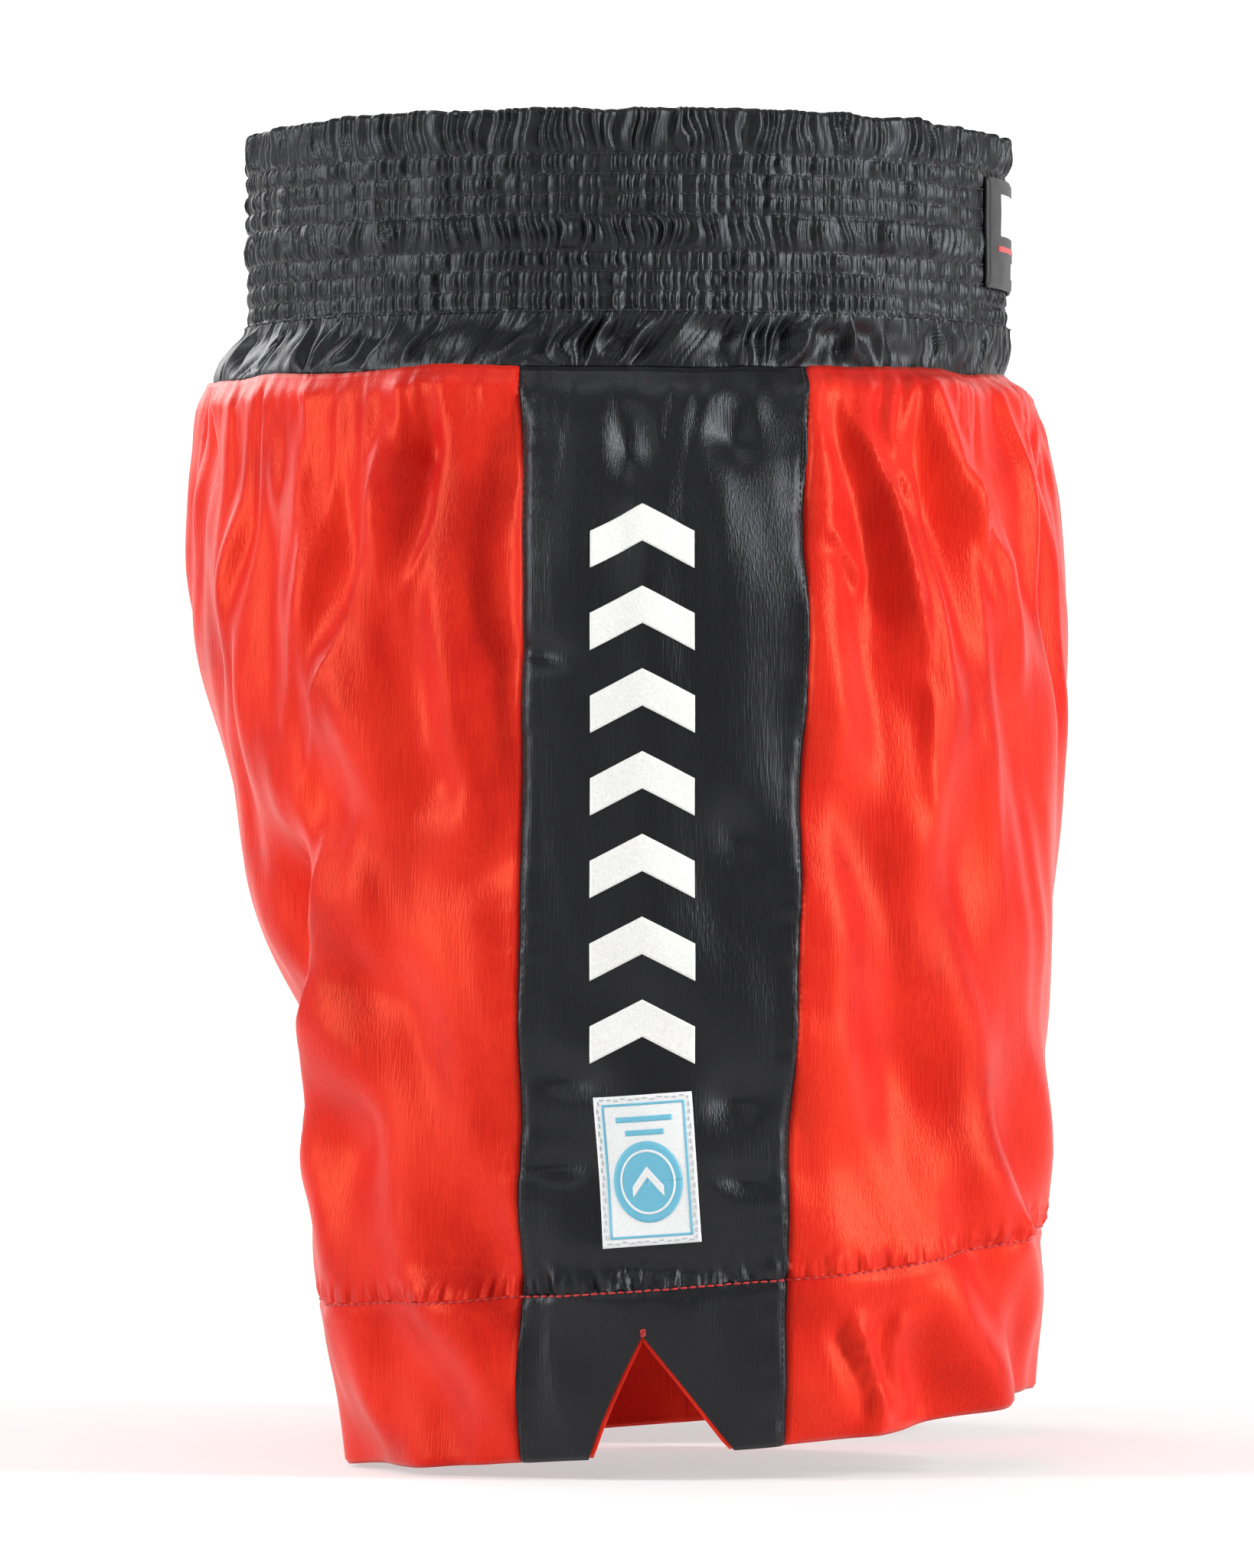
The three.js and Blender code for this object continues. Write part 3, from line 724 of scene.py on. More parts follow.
stripe_creases = (
    dent(-2, 305, 2.6, 6, 11, -10)
    + dent(-31, 309, 2.0, 9, 7, 30)
    + dent(26, 244, 1.6, 8, 3.5, 15)
    + dent(-33, 190, 1.5, 7, 9, -25)
    + dent(18, 118, 1.8, 9, 5, 10)
    + dent(-32, 112, 1.8, 8, 6, -15)
    + dent(20, 92, 1.5, 7, 3.5, 0)
    + dent(-34, 88, 1.5, 7, 3.5, 12)
    + dent(-8, 62, 1.4, 22, 3.5, 4)
    + crease((24, 60), (18, 10), 0.5, 5.0)
)


def sewn_half(folds, mirror, seed):
    """One half of the body with all its folds and sewing detail, and its outward normals."""
    kept = (0.15 + 0.85 * smoothstep(150, 290, side_z)) * (1 - 0.75 * on_stripe)
    kept = kept * (0.5 + 0.5 * faces_side)
    height = refine(folds[..., None], FINER)[..., 0] * kept * FOLD_GAIN
    height = height + waist_gathers(seed) + soft_unevenness(seed + 60)
    low_gain = 2.0 + 1.2 * (1 - smoothstep(60, 200, side_z))
    height = height + low_gain * (front_creases + back_creases) + 1.8 * stripe_creases
    height = height + hem_detail(seed + 20) + seam_detail(seed + 41)
    height = height * from_ends - 0.6 * (1 - from_ends)
    free = smoothstep(0, 9, below_seam)
    height = height * (0.25 + 0.75 * free) - 0.3 * (1 - free)
    shift = grid_normals(fine_form) * height[..., None]
    shift[..., 0] *= from_ends  # so that the two halves meet along the rise seam
    half = fine_form + shift
    facing = np.array([-1, 1, 1]) if mirror else np.array([1, 1, 1])
    half[..., 2] += seam_wave(fine_form * facing, below_seam)
    return half, grid_normals(half)


halves = {
    "right": sewn_half(fold_maps["right"], False, 100),
    "left": sewn_half(fold_maps["left"], True, 300),
}
print("cells of a refined half", (fine_angle.shape[0] - 1) * (fine_angle.shape[1] - 1))

# %% [markdown]
# ## Cutting the panels
# Each panel is the part of the half between two seams. Panels could be modelled one by one, but
# pieces cut from one draped grid share the points of their seams, so no gap opens between them.
# Each is one layer of cloth with a thickness, and the width and length of its flat cut are printed.


# %% Panels
def unmirror(points, side):
    """Points of a half, put on their own side of the body."""
    return points if side == "right" else points * np.array([-1, 1, 1])


def side_faces(faces, side):
    """Faces that still look outward after the left half is mirrored."""
    return faces if side == "right" else faces[:, ::-1]


cloth_uv = np.stack([arc, above_hem], -1) * MM
PANELS = {
    "back_panel": (0, seam_back, red_satin, "red_satin"),
    "front_panel": (seam_front, arc.shape[1] - 1, red_satin, "red_satin"),
}
SPARE = 1.06  # the cut's width over the worn width


def cut_size(first, last):
    """Flat width and length in metres of the cut between two columns."""
    width = (arc[:, last] - arc[:, first]).max() * SPARE * MM
    length = (SEAM_HEIGHT - HEM_RISE * 0.3) * MM
    return width, length


for side, (points, normals) in halves.items():
    for part, (first, last, cloth, slot) in PANELS.items():
        block = points[:, first : last + 1]
        faces = side_faces(grid_faces(*block.shape[:2]), side)
        name = f"{side}_{part}"
        piece = make_mesh(f"{name}_cloth", unmirror(block, side), faces, cloth_uv[:, first : last + 1])
        finish_piece(piece, [name], 0.5, cloth)
        print(name, block.shape, "flat", [round(x, 3) for x in cut_size(first, last)])

# %% [markdown]
# ## The side stripe and its slit
# The stripe is black satin from waist to hem, with an inverted V cut out of the hem. Cutting the
# mesh with a boolean would leave ragged cells, so the columns are squeezed aside instead: below the
# slit's point the two halves of the stripe part along the V, and each keeps clean edges.

# %% Stripe with a slit
SLIT_PEAK, SLIT_HEIGHT, SLIT_TO_BACK, SLIT_TO_FRONT = -4.6, 36.0, 16.0, 27.0
HEM_UNDER_SLIT = 6.2  # where the hem would run under the slit's point
slit_apex = HEM_UNDER_SLIT + SLIT_HEIGHT


def grid_place(y, z):
    """Row and column of the refined grid at a point (Y, Z) of the side stripe."""
    _, _, depth, middle = section(z)
    angle = np.arcsin(np.clip((y + ORIGIN_SHIFT - middle) / depth, -1, 1))
    hem = hem_height(angle)
    share = (z - hem) / (SEAM_HEIGHT - hem)
    row = np.interp(share, row_share, np.arange(len(row_share))) * FINER
    back, front = stripe_angles(z)
    return row, seam_back + (angle - back) / (front - back) * (seam_front - seam_back)


def slit_edges(z, inset):
    """The columns of the slit's two edges at a height; they meet at its point."""
    fall = (slit_apex - z) / SLIT_HEIGHT
    curve = 1.0 * np.sin(np.clip(fall, 0, 1) * math.pi)
    to_back = np.maximum(SLIT_TO_BACK * fall - inset, 0)
    to_front = np.maximum(SLIT_TO_FRONT * fall - inset, 0)
    _, back_edge = grid_place(SLIT_PEAK + to_back + curve * (to_back > 0), z)
    _, front_edge = grid_place(SLIT_PEAK - to_front, z)
    return back_edge, front_edge


def slit_grid(points, first, last, row_count, inset, lift, normals):
    """A grid between two columns whose middle parts along the slit, and its faces."""
    cells = 2 * (last - first)
    _, split = grid_place(SLIT_PEAK, np.array(slit_apex))
    left_count = int(round((split - first) * 2))
    row = np.arange(row_count, dtype=float)
    z_mid = side_z[:row_count, int(split)]
    back_edge, front_edge = slit_edges(z_mid, inset)
    t_left = np.linspace(0, 1, left_count + 1)
    t_right = np.linspace(0, 1, cells - left_count + 1)
    above = z_mid >= slit_apex
    meet = np.where(above, split, back_edge)
    meet_right = np.where(above, split, front_edge)
    left = first + (meet[:, None] - first) * t_left
    right = meet_right[:, None] + (last - meet_right[:, None]) * t_right
    blocks, faces, uv, start = [], [], [], 0
    for column in (left, right):
        r = row[:, None] * np.ones(column.shape[1])
        block = sample_grid(points, r, column) + lift * sample_grid(normals, r, column)
        blocks.append(block.reshape(-1, 3))
        uv.append(sample_grid(cloth_uv, r, column).reshape(-1, 2))
        faces.append(grid_faces(*column.shape) + start)
        start += block.shape[0] * block.shape[1]
    return np.concatenate(blocks), np.concatenate(faces), np.concatenate(uv)


def weld_close(obj, distance=0.02):
    """Joins the two parts of a slit grid where they touch, above the slit's point."""
    weld = obj.modifiers.new("weld", "WELD")
    weld.merge_threshold = distance * MM


stripe_rows = arc.shape[0]
for side, (points, normals) in halves.items():
    block, faces, uv = slit_grid(points, seam_back, seam_front, stripe_rows, 0.0, 0.0, normals)
    stripe = make_mesh(f"{side}_side_stripe_cloth", unmirror(block, side), side_faces(faces, side), uv)
    weld_close(stripe)
    finish_piece(stripe, [f"{side}_side_stripe"], 0.5, black_satin)
print("stripe cells", len(stripe.data.polygons))

# %% [markdown]
# ## The hem facing
# A band of red satin is sewn inside each leg. It reaches a little past the stripe's edge in the
# slit, which is why the slit has a red outline. The panel's own thickness could stand for it, but
# it is a piece of its own, so it is a second grid just inside the leg, parted by the same slit.

# %% Hem facing
FACING_HEIGHT = 48.0
facing_rows = int(np.searchsorted(above_hem[:, seam_back], FACING_HEIGHT))
for side, (points, normals) in halves.items():
    block, faces, uv = slit_grid(points, 0, arc.shape[1] - 1, facing_rows, 1.4, -0.9, normals)
    facing = make_mesh(f"{side}_hem_facing_cloth", unmirror(block, side), side_faces(faces, side), uv)
    weld_close(facing)
    finish_piece(facing, [f"{side}_hem_facing"], 0.4, red_satin)
print("facing rows", facing_rows)

# %% [markdown]
# ## Stitches
# A lockstitch is a row of short threads, each dipping into the cloth at both ends. A bump could draw
# them for a far view, but from near by the thread's round shine shows, so each is a small tube. One
# function lays a row of them along any line on the cloth: it takes the line, its normals, the
# stitch length and the thread's radius.


# %% A row of stitches
def stitch_row(line, normals, length, gap, radius, height, wobble=0.0):
    """Vertices and faces of a row of stitches along a line of points."""
    spacing = np.linalg.norm(np.diff(line, axis=0), axis=1)
    along = np.concatenate([[0], np.cumsum(spacing)])
    count = int(along[-1] // (length + gap))
    sides, rings = 6, 7
    t = np.linspace(0, 1, rings)
    s = (np.arange(count)[:, None] * (length + gap) + gap / 2 + t * length).ravel()
    centre = np.stack([np.interp(s, along, line[:, k]) for k in range(3)], -1)
    normal = np.stack([np.interp(s, along, normals[:, k]) for k in range(3)], -1)
    tangent = np.stack([np.interp(s + 0.3, along, line[:, k]) for k in range(3)], -1) - centre
    tangent /= np.maximum(np.linalg.norm(tangent, axis=1, keepdims=True), 1e-6)
    normal -= tangent * (normal * tangent).sum(1, keepdims=True)
    normal /= np.maximum(np.linalg.norm(normal, axis=1, keepdims=True), 1e-6)
    across = np.cross(tangent, normal)
    arch = np.tile(np.sin(math.pi * t), count)[:, None]
    sideways = wobble * np.sin(np.repeat(np.arange(count), rings) * 2.4)[:, None]
    centre = centre + normal * (height * arch - 0.25 * radius) + across * sideways
    size = radius * (0.35 + 0.65 * np.sqrt(arch))
    turn = np.linspace(0, math.tau, sides, endpoint=False)
    ring = normal[:, None] * np.cos(turn)[:, None] + across[:, None] * np.sin(turn)[:, None]
    points = centre[:, None] + ring * size[:, None]
    tube = grid_faces(rings, sides, wrap=True)
    faces = (tube + (np.arange(count) * rings * sides)[:, None, None]).reshape(-1, 4)
    return points.reshape(-1, 3), faces


def join_rows(rows):
    """Several rows of stitches as one set of points and faces."""
    points, faces, start = [], [], 0
    for p, f in rows:
        points.append(p)
        faces.append(f + start)
        start += len(p)
    return np.concatenate(points), np.concatenate(faces)


def line_at_level(values, level, grid, normals):
    """The line over a half where values, which grow from row to row, reach a level."""
    rows_up = np.arange(values.shape[0])
    row = np.array([np.interp(level, values[:, c], rows_up) for c in range(values.shape[1])])
    column = np.arange(values.shape[1], dtype=float)
    return sample_grid(grid, row, column), sample_grid(normals, row, column)


# %% Stitches of the hem and the stripe
STITCH, STITCH_GAP, THREAD_RADIUS = 2.2, 0.5, 0.38
EDGE_STITCH, EDGE_RADIUS = 2.0, 0.2
EDGE_INSET = 1.3
for side, (points, normals) in halves.items():
    line, out = line_at_level(above_hem, HEM_STITCH, points, normals)
    p, f = stitch_row(line, out, STITCH, STITCH_GAP, THREAD_RADIUS, 0.25)
    hem = make_mesh(f"{side}_hem_stitches", unmirror(p, side), side_faces(f, side))
    finish_piece(hem, [f"{side}_hem_stitch"], finish=red_thread)
    for edge, away, sign in (("back", from_back_seam, 1), ("front", from_front_seam, -1)):
        across = np.arange(away.shape[1])
        column = np.array([np.interp(sign * EDGE_INSET, away[r], across) for r in range(len(away))])
        row = np.arange(len(away), dtype=float)
        line, out = sample_grid(points, row, column), sample_grid(normals, row, column)
        p, f = stitch_row(line, out, EDGE_STITCH, STITCH_GAP, EDGE_RADIUS, 0.2)
        run = make_mesh(f"{side}_stripe_stitches_{edge}", unmirror(p, side), side_faces(f, side))
        finish_piece(run, [f"{side}_stripe_stitch_{edge}"], finish=black_thread)
    print(side, "hem stitch faces", len(hem.data.polygons), "stripe stitch faces", len(run.data.polygons))

# %% [markdown]
# ## Printed chevrons, label and bar tack
# The marks on the stripe are laid on the draped cloth: each is a small grid of (Y, Z) places that is
# read off the stripe and lifted by its own thickness. A drawing could be mapped on instead, but a
# grid follows every fold, keeps a crisp edge and needs no image. The chevrons are heat-pressed
# vinyl, and the label is woven, with a border and a plain round emblem in blue.


# %% Lay trim on the stripe
def lay(points, normals, y, z, lift):
    """Points at places (Y, Z) of the stripe, lifted off the cloth."""
    row, column = grid_place(y, z)
    return sample_grid(points, row, column) + lift * sample_grid(normals, row, column)


# %% Chevrons
PRINTS, PRINT_PITCH, PRINT_WIDTH, PRINT_STROKE, PRINT_POINT = 7, 24.4, 31.0, 11.0, 8.0
PRINT_BOTTOM, PRINT_MIDDLE = 122.5, -4.5
PRINT_LIFT = 0.3
for side, (points, normals) in halves.items():
    for i in range(PRINTS):
        across, up = np.meshgrid(np.linspace(-0.5, 0.5, 33), np.linspace(0, 1, 13))
        z = PRINT_BOTTOM + i * PRINT_PITCH + PRINT_POINT * (1 - 2 * np.abs(across)) + up * PRINT_STROKE
        block = lay(points, normals, PRINT_MIDDLE - across * PRINT_WIDTH, z, PRINT_LIFT)
        name = f"{side}_print_chevron_{i + 1}"
        mark = make_mesh(f"{name}_vinyl", unmirror(block, side), side_faces(grid_faces(13, 33), side))
        finish_piece(mark, [name], 0.25, white_vinyl)
print("chevrons of each side", PRINTS, "up to", PRINT_BOTTOM + (PRINTS - 1) * PRINT_PITCH + PRINT_STROKE)

# %% Woven label
LABEL_WIDTH, LABEL_HEIGHT, LABEL_TILT = 29.0, 44.5, math.radians(4)
LABEL_BOTTOM = 69.0
LABEL_MIDDLE, LABEL_CENTRE = -6.0, LABEL_BOTTOM + LABEL_HEIGHT / 2
LABEL_BORDER_IN, LABEL_STITCH_IN = 2.3, 1.1
BASE_LIFT, BLUE_LIFT, WHITE_LIFT = 0.6, 0.72, 0.82  # the woven layers of the label
YARN = 0.1
label_points, label_normals = halves["right"]


def on_label(u, v, lift):
    """A point of the label: u and v in millimetres from its middle, v up, u towards the front."""
    y = LABEL_MIDDLE - (u * math.cos(LABEL_TILT) - v * math.sin(LABEL_TILT))
    z = LABEL_CENTRE + v * math.cos(LABEL_TILT) + u * math.sin(LABEL_TILT)
    return lay(label_points, label_normals, y, z, lift)


def label_block(name, u, v, lift, thickness, finish, replaced=()):
    """One woven layer of the label, from its u and v."""
    piece = make_mesh(name, on_label(u, v, lift), grid_faces(*u.shape))
    return finish_piece(piece, replaced, thickness, finish)


u, v = np.meshgrid(np.linspace(-0.5, 0.5, 41) * LABEL_WIDTH, np.linspace(-0.5, 0.5, 61) * LABEL_HEIGHT)
label = label_block("right_woven_label_cloth", u, v, BASE_LIFT, 0.4, woven_white, ["right_woven_label"])


def label_frame(inset, wide):
    """A closed band round the label, as a grid of two rows."""
    half = np.array([LABEL_WIDTH, LABEL_HEIGHT]) / 2 - inset
    corners = half * np.array([[-1, -1], [1, -1], [1, 1], [-1, 1], [-1, -1]])
    t = np.linspace(0, 4, 121)
    outer = np.stack([np.interp(t, range(5), corners[:, k]) for k in (0, 1)], -1)
    return np.stack([outer, outer * (half - wide) / half])


band = label_frame(LABEL_BORDER_IN, 0.7)
label_block("right_label_border", band[..., 0], band[..., 1], BLUE_LIFT, YARN, woven_blue)
print("label", LABEL_WIDTH, "by", LABEL_HEIGHT, "mm")

# %% The label's emblem and bars
EMBLEM_U, EMBLEM_V, EMBLEM_DROP = 10.2, 12.1, 3.5
BAR_HEIGHT, BAR_PITCH, BAR_STROKE = 15.2, 4.0, 0.8  # from the label's middle; half a bar's width
turn = np.linspace(0, math.tau, 73)
around_u, around_v = EMBLEM_U * np.cos(-turn), EMBLEM_V * np.sin(-turn)
disc = np.linspace(0.02, 1, 12)[:, None]
ring = np.array([0.74, 0.8])[:, None]
tip = np.linspace(-1, 1, 25)
fill = np.linspace(0, 1, 6)[:, None]
for name, u, v, lift, yarn in (
    ("emblem", disc * around_u, disc * around_v - EMBLEM_DROP, BLUE_LIFT, woven_blue),
    ("emblem_ring", ring * around_u, ring * around_v - EMBLEM_DROP, WHITE_LIFT, woven_white),
    ("emblem_mark", 4.6 * tip + 0 * fill, 3.2 * fill - 6.0 * np.abs(tip) - 2.0, WHITE_LIFT, woven_white),
):
    label_block(f"right_label_{name}", u, v, lift, YARN, yarn)
for k, half in enumerate((8.2, 5.6)):
    u, v = np.meshgrid(np.linspace(-half, half, 21), np.linspace(-BAR_STROKE, BAR_STROKE, 4))
    label_block(f"right_label_bar_{k + 1}", u, v + BAR_HEIGHT - BAR_PITCH * k, BLUE_LIFT, YARN, woven_blue)

# %% The label's stitches
edge = label_frame(LABEL_STITCH_IN, 0.5)[0]
edge_line = on_label(edge[:, 0], edge[:, 1], 0.62)
behind_label = label_normals[100, seam_back + 20]  # one direction will do: the label is nearly flat
edge_normals = np.tile(behind_label, (len(edge_line), 1))
p, f = stitch_row(edge_line, edge_normals, 1.7, 0.5, 0.2, 0.2, wobble=0.25)
finish_piece(make_mesh("right_label_stitches", p, f), finish=grey_thread)
print("label stitch points", len(p))

# %% Bar tack at the slit's point
for side, (points, normals) in halves.items():
    z = slit_apex + np.linspace(0.3, 1.9, 5)
    runs = []
    for k in range(5):
        y = SLIT_PEAK + np.linspace(-1.1, 1.1, 6)
        line = lay(points, normals, y, z[k] + 0.25 * np.sin(y * 3 + k), 0.25)
        runs.append(stitch_row(line, sample_grid(normals, *grid_place(y, z[k])), 1.9, 0.05, 0.24, 0.3))
    p, f = join_rows(runs)
    tack = make_mesh(f"{side}_slit_bartack_thread", unmirror(p, side), side_faces(f, side))
    finish_piece(tack, [f"{side}_slit_bartack"], finish=red_thread)
print("bar tacks at", round(slit_apex, 1))

# %% [markdown]
# ## The shirred waistband
# Eight rows of stitches hold gathered satin to two elastics. Between two rows the cloth puffs into
# small upright ridges that are pinched at the stitches, wander a little and never line up exactly
# from one channel to the next. Below the last row the gathers run free to the waist seam. A
# solver would need cells far under a millimetre for this, so each channel is a formula on one ring
# of points, whose heights come from the fixed frame's own stitch rows.

# %% Waistband form
ROW_HEIGHTS = [sum(corner.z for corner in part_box(f"shirr_stitch_{k}")) / 2 / MM for k in range(1, 9)]
WAIST_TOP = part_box("waistband_cover")[1].z / MM
WAIST_HALF_WIDTH, WAIST_HALF_DEPTH = 148.0, 118.0
FLOUNCE_TOP = 343.0
AROUND = 1800
around = np.linspace(0, math.tau, AROUND, endpoint=False)
theta = math.pi / 2 + around  # the strip's ends meet at the centre back
waist_arc = around * (WAIST_HALF_WIDTH + WAIST_HALF_DEPTH) / 2


def waist_form(angle, height):
    """The smooth oval of the waistband, opening out to the body at the waist seam."""
    t = 1 - smoothstep(SEAM_HEIGHT, FLOUNCE_TOP + 4, height)
    _, width, depth, middle = section(np.array(SEAM_HEIGHT))
    a = WAIST_HALF_WIDTH + (width - WAIST_HALF_WIDTH) * t
    b = WAIST_HALF_DEPTH + (depth - WAIST_HALF_DEPTH) * t
    y = ORIGIN_SHIFT + (middle - ORIGIN_SHIFT) * t
    return np.stack([a * np.cos(angle), y + b * np.sin(angle), height + 0 * angle], -1)


print("stitch rows at", [round(z, 1) for z in ROW_HEIGHTS], "top", round(WAIST_TOP, 1))

# %% Shirring between the rows
RIDGE_PITCHES = [3.5, 2.8, 2.8, 2.8, 3.0, 2.8, 2.8, 2.8, 3.4]
edges = [WAIST_TOP, *ROW_HEIGHTS, SEAM_HEIGHT]
CELLS_IN = [11, 6, 6, 6, 12, 6, 6, 6, 15]
OPEN_CHANNEL, FLOUNCE = 4, 8  # between the two groups of rows, and below the last row
WIDE_CHANNELS = (0, OPEN_CHANNEL)


def header(v, s, ridges):
    """The gathered edge above the first row: its top dips at the front and the back."""
    toward_back = WAIST_HALF_DEPTH * np.sin(theta)
    dip = 2.5 * smoothstep(60, 125, -toward_back) + 1.5 * smoothstep(60, 125, toward_back)
    puff = np.where(v < 0.5, 1.0, np.sin(math.pi * v) ** 0.55)
    rise = (1 - v) * (0.55 * waves(s, 0 * s, 26, 1, 650) + 0.35 * ridges - dip)
    return rise, puff * 0.3 + ridges * (0.9 + 1.6 * puff)


def flounce(v, s, x):
    """Free folds that lean, open and close on their way down to the seam."""
    lean = 9.0 * waves(s, 0 * s, 48, 1, 700) * v
    folds = pleats(s + lean + 2.6 * waves(s, v * 2, 24, 3, 710), 9.5, 720)
    small = pleats(x + lean, 3.4, 730) * (1 - 0.75 * smoothstep(0, 0.6, v))
    open_up = smoothstep(0, 0.35, v) * (1 - 0.88 * smoothstep(0.55, 1, v))
    deep = 5.0 * open_up * (0.8 + 0.5 * waves(s, v, 40, 3, 745))
    return (folds - 0.7) * deep + small * 1.1 + 1.0 - 1.5 * smoothstep(0.4, 1.0, v)


def channel(index, high, low, cells):
    """Heights of one channel between two levels, and how far its ridges stand out."""
    v = np.linspace(0, 1, cells + 1)[:, None]
    height = high + (low - high) * v
    s = waist_arc[None, :]
    swing = 0.5 * np.sin(v * math.pi)
    if index in WIDE_CHANNELS:
        swing = 1.1 * np.sin(v * math.pi * 1.3 + 3 * waves(s, 0 * s, 70, 1, 900 + index))
    shared = s + 0.9 * waves(s, 0 * s, 34, 1, 77)
    x = shared + swing + 0.35 * waves(s, v * 3, 16, 6, 400 + index)
    ridges = pleats(x, RIDGE_PITCHES[index], 500 + index // 2)
    ridges = ridges * (0.9 + 0.22 * waves(s, v, 9, 3, 600 + index))
    puff = np.sin(math.pi * v) ** 0.55
    if index == 0:
        rise, out = header(v, s, ridges)
        height = height + rise
    elif index == OPEN_CHANNEL:
        out = puff * 0.6 + ridges * (0.7 + 2.0 * puff)
    elif index == FLOUNCE:
        out = flounce(v, s, x)
        seam = waist_form(theta, np.full(AROUND, SEAM_HEIGHT))[None]
        height = height + seam_wave(seam, height - SEAM_HEIGHT)
    else:
        out = ridges * (0.7 + 1.4 * puff)
    return height, out - 1.2


heights, outs = [], []
for k, cells in enumerate(CELLS_IN):
    level, out = channel(k, edges[k], edges[k + 1], cells)
    keep = slice(0, cells) if k < len(CELLS_IN) - 1 else slice(0, cells + 1)
    heights.append((level + 0 * waist_arc)[keep])
    outs.append((out + 0 * waist_arc)[keep])
heights, outs = np.concatenate(heights)[::-1], np.concatenate(outs)[::-1]
form = waist_form(theta[None, :], heights)
form_normals = grid_normals(form, wrap=True)
print("channels", len(CELLS_IN), "rows of points", len(heights))

# %% The cover lies flat under the patch
PATCH_HALF_WIDTH = 56.0
patch_low, patch_high = (corner.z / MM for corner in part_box("waist_patch"))
pressed = smoothstep(-2, 1, PATCH_HALF_WIDTH - np.abs(form[..., 0])) * (form[..., 1] < 0)
pressed = pressed * smoothstep(patch_low - 2, patch_low + 1, heights)
pressed = pressed * (1 - smoothstep(patch_high - 1, patch_high + 2, heights))
outs = outs * (1 - 0.75 * pressed) - 0.3 * pressed
cover = form + form_normals * outs[..., None]
turned_under = cover[:1] - form_normals[:1] * 2.2 - np.array([0, 0, 0.8])
print("ridges stand out", outs.min().round(1), "to", outs.max().round(1), "mm")

# %% The folded top and the inner wall
COVER_WALL = 3.8
FOLD_RISE = 1.5
top_row = cover[-1]
inward = -form_normals[-1]
fold = []
for a in np.linspace(0, math.pi, 7)[1:]:
    over = inward * (COVER_WALL / 2) * (1 - math.cos(a))
    fold.append(top_row + over + np.array([0, 0, FOLD_RISE]) * math.sin(a))
inner_heights = np.linspace(WAIST_TOP - 4, FLOUNCE_TOP - 2, 30)
inner = []
for k, h in enumerate(inner_heights):
    ring_form = waist_form(theta, np.full(AROUND, h))
    pull = min(1.0, k / 3)
    wave = 0.5 * pleats(waist_arc + 0.4 * np.sin(h / 3), 4.0, 950 + k // 5)
    base = ring_form + inward * (COVER_WALL + 0.2 + wave[:, None])
    carried = fold[-1] + np.array([0, 0, h - fold[-1][:, 2].mean()])
    inner.append(base * pull + carried * (1 - pull))
cover_grid = np.concatenate([turned_under, cover, np.array(fold), np.array(inner)])
cover_uv = np.stack([waist_arc + 0 * cover_grid[..., 2], cover_grid[..., 2]], -1) * MM
cover_faces = grid_faces(len(cover_grid), AROUND, wrap=True)
waistband = make_mesh("waistband_cover_cloth", cover_grid, cover_faces, cover_uv)
finish_piece(waistband, ["waistband_cover"], 0.0, black_satin)
elastics = ["waist_elastic_upper", "waist_elastic_lower"]
print("waistband cells", len(cover_faces))

# %% Shirring stitches and the elastics
row_index = np.cumsum(CELLS_IN)[:-1]
for k in range(8):
    r = len(cover) - 1 - row_index[k]
    line = np.concatenate([cover[r], cover[r][:1]])
    out = np.concatenate([form_normals[r], form_normals[r][:1]])
    p, f = stitch_row(line, out, 2.4, 0.5, 0.24, 0.35)
    row = make_mesh(f"shirr_stitches_{k + 1}", p, f)
    finish_piece(row, [f"shirr_stitch_{k + 1}"], finish=black_thread)
for name in elastics:
    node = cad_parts[name]
    node.data.materials.clear()
    node.data.materials.append(knit_elastic)
print("shirring rows", len(row_index), "at rings", row_index.tolist())

# %% [markdown]
# ## The front patch
# A thin pressed patch is sewn over the middle of the waistband, with plain raised bars in place of
# any lettering. It could be shrunk onto the ridges, but a real one is stiff and bridges them, so it
# follows the smooth oval.


# %% Front patch
def front_plate(name, finish, replaced, half_width, low, high, lift, thickness):
    """A rounded plate on the front of the waistband, between two heights."""
    x, z = np.meshgrid(np.linspace(-half_width, half_width, 61), np.linspace(low, high, 25))
    angle = -np.arccos(x / WAIST_HALF_WIDTH)
    form = waist_form(angle, z)
    edge = np.minimum(half_width - np.abs(x), np.minimum(z - low, high - z))
    out = lift - thickness * 0.6 * (1 - smoothstep(0, 1.2, edge)) + 0.15 * waves(x, z, 30, 18, 11)
    normal = grid_normals(form)
    piece = make_mesh(name, form + normal * out[..., None], grid_faces(*x.shape))
    return finish_piece(piece, [replaced], thickness, finish)


PLATE_LIFT, PLATE_THICKNESS = 1.5, 1.0
MARK_LIFT, MARK_THICKNESS = 1.75, 0.25
front_plate("waist_patch_plate", patch_black, "waist_patch", PATCH_HALF_WIDTH,
            patch_low, patch_high, PLATE_LIFT, PLATE_THICKNESS)
MARKS = {
    "patch_bar": ("white_print", white_vinyl),
    "patch_line": ("patch_red", patch_red),
    "patch_short_bar": ("white_print", white_vinyl),
}
for node, (slot, finish) in MARKS.items():
    low, high = (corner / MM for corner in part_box(node))
    front_plate(f"{node}_print", finish, node, (high.x - low.x) / 2, low.z, high.z,
                MARK_LIFT, MARK_THICKNESS)
print("patch", round(patch_low, 1), "to", round(patch_high, 1))

# %% [markdown]
# ## Studio
# A white sweep with two tall strip lights, one beyond the front and one beyond the back, and softer
# fills, as for a shop picture. A bright room would be simpler, but satin shows its folds only when
# the light has a direction, so the ambient light stays moderate. The sweep glows of itself, least
# in front of the shorts and most behind them, where it would otherwise turn grey.


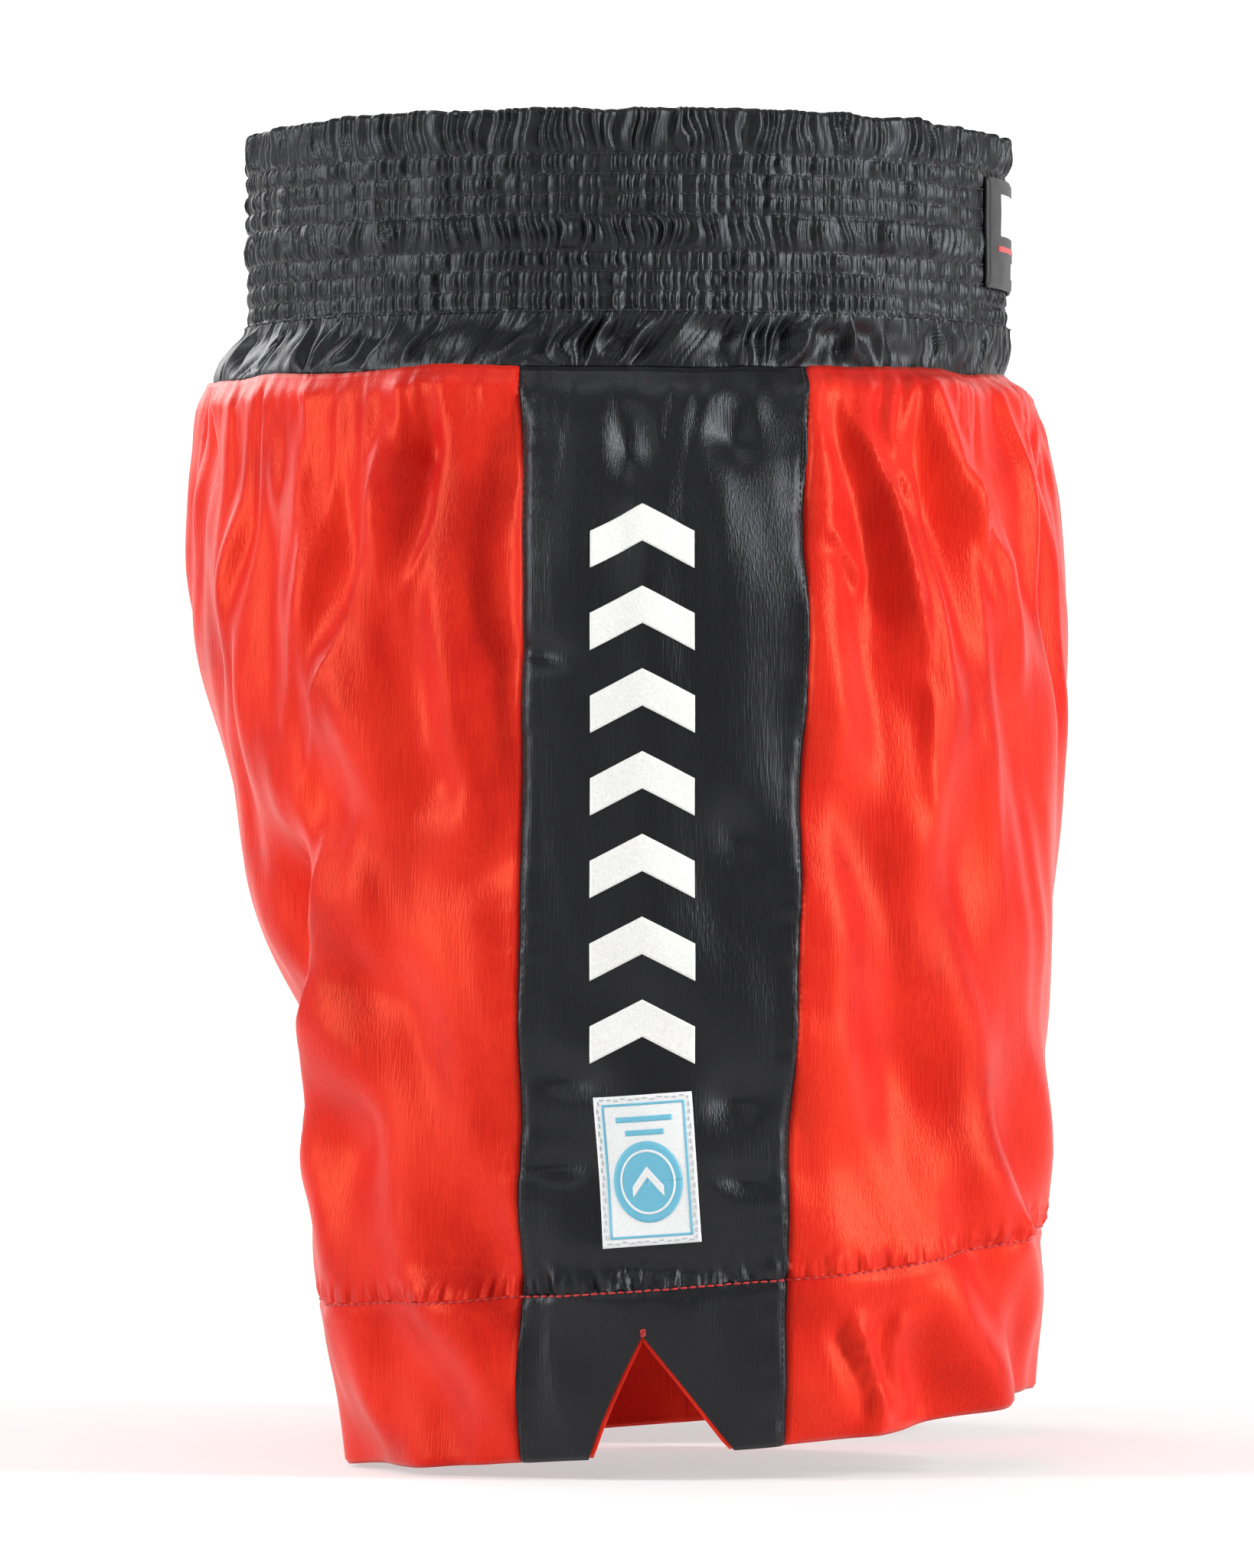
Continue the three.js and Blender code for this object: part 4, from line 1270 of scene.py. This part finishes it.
# %% Floor, backdrop and lights
def area_light(name, place, target, width, height, power):
    """A rectangular lamp at a place in metres, turned to face the target."""
    data = bpy.data.lights.new(name, "AREA")
    data.shape = "RECTANGLE"
    data.size, data.size_y = width, height
    data.energy = power
    light = bpy.data.objects.new(name, data)
    light.location = place
    light.rotation_euler = (Vector(target) - Vector(place)).to_track_quat("-Z", "Y").to_euler()
    bpy.context.scene.collection.objects.link(light)


area_light("left_strip", (-0.75, 1.95, 0.9), (0, 0, 0.2), 0.5, 1.4, 34)
area_light("right_strip", (-0.75, -1.95, 0.9), (0, 0, 0.2), 0.5, 1.4, 50)
area_light("front_fill", (-2.6, 0.6, 1.6), (0, 0, 0.2), 1.0, 1.0, 10)
area_light("top", (-0.3, 0.0, 2.2), (0, 0, 0.2), 1.2, 1.2, 8)
area_light("far_side", (1.6, 1.2, 1.3), (0, 0, 0.2), 1.2, 1.2, 16)
world = bpy.data.worlds.new("studio")
world.use_nodes = True
world.node_tree.nodes["Background"].inputs["Color"].default_value = (1, 1, 1, 1)
world.node_tree.nodes["Background"].inputs["Strength"].default_value = 0.16
bpy.context.scene.world = world
bpy.context.scene.view_settings.view_transform = "Standard"
print("lights", len(bpy.data.lights))

# %% The sweep
SWEEP_REACH = 6500.0
SWEEP_BEND = 1500.0
SWEEP_WALL = 5000.0
SWEEP_DROP = 1.0  # keeps the hem clear of the floor
SWEEP_GREY = 0.45
GLOW_FROM, GLOW_TO = 0.1, 2.2  # metres behind the middle of the shorts
GLOW_LEAST, GLOW_MOST = 0.5, 1.05
sweep_finish, sweep_tree, sweep_shader = new_finish("painted_studio_sweep")
sweep_shader.inputs["Base Color"].default_value = (SWEEP_GREY, SWEEP_GREY, SWEEP_GREY, 1)
sweep_shader.inputs["Roughness"].default_value = 0.9
sweep_shader.inputs["Emission Color"].default_value = (1, 1, 1, 1)
place = add_node(sweep_tree, "ShaderNodeTexCoord").outputs["Object"]
away = add_node(sweep_tree, "ShaderNodeSeparateXYZ", i0=place).outputs["X"]
glow = add_node(sweep_tree, "ShaderNodeMapRange", Value=away, From_Min=GLOW_FROM, From_Max=GLOW_TO,
                To_Min=GLOW_LEAST, To_Max=GLOW_MOST)
sweep_tree.links.new(glow.outputs[0], sweep_shader.inputs["Emission Strength"])
bend = np.linspace(0, math.pi / 2, 16)
reach = np.concatenate([[-SWEEP_REACH], SWEEP_REACH - SWEEP_BEND * (1 - np.sin(bend)), [SWEEP_REACH]])
rise = np.concatenate([[0.0], SWEEP_BEND * (1 - np.cos(bend)), [SWEEP_WALL]])
across = np.linspace(-SWEEP_REACH, SWEEP_REACH, 9)
sweep = np.stack(
    [reach[:, None] + 0 * across, across + 0 * reach[:, None], rise[:, None] + 0 * across - SWEEP_DROP], -1
)
backdrop = make_mesh("studio_sweep", sweep, grid_faces(*sweep.shape[:2]))
backdrop.data.materials.append(sweep_finish)
print("sweep", sweep.shape)
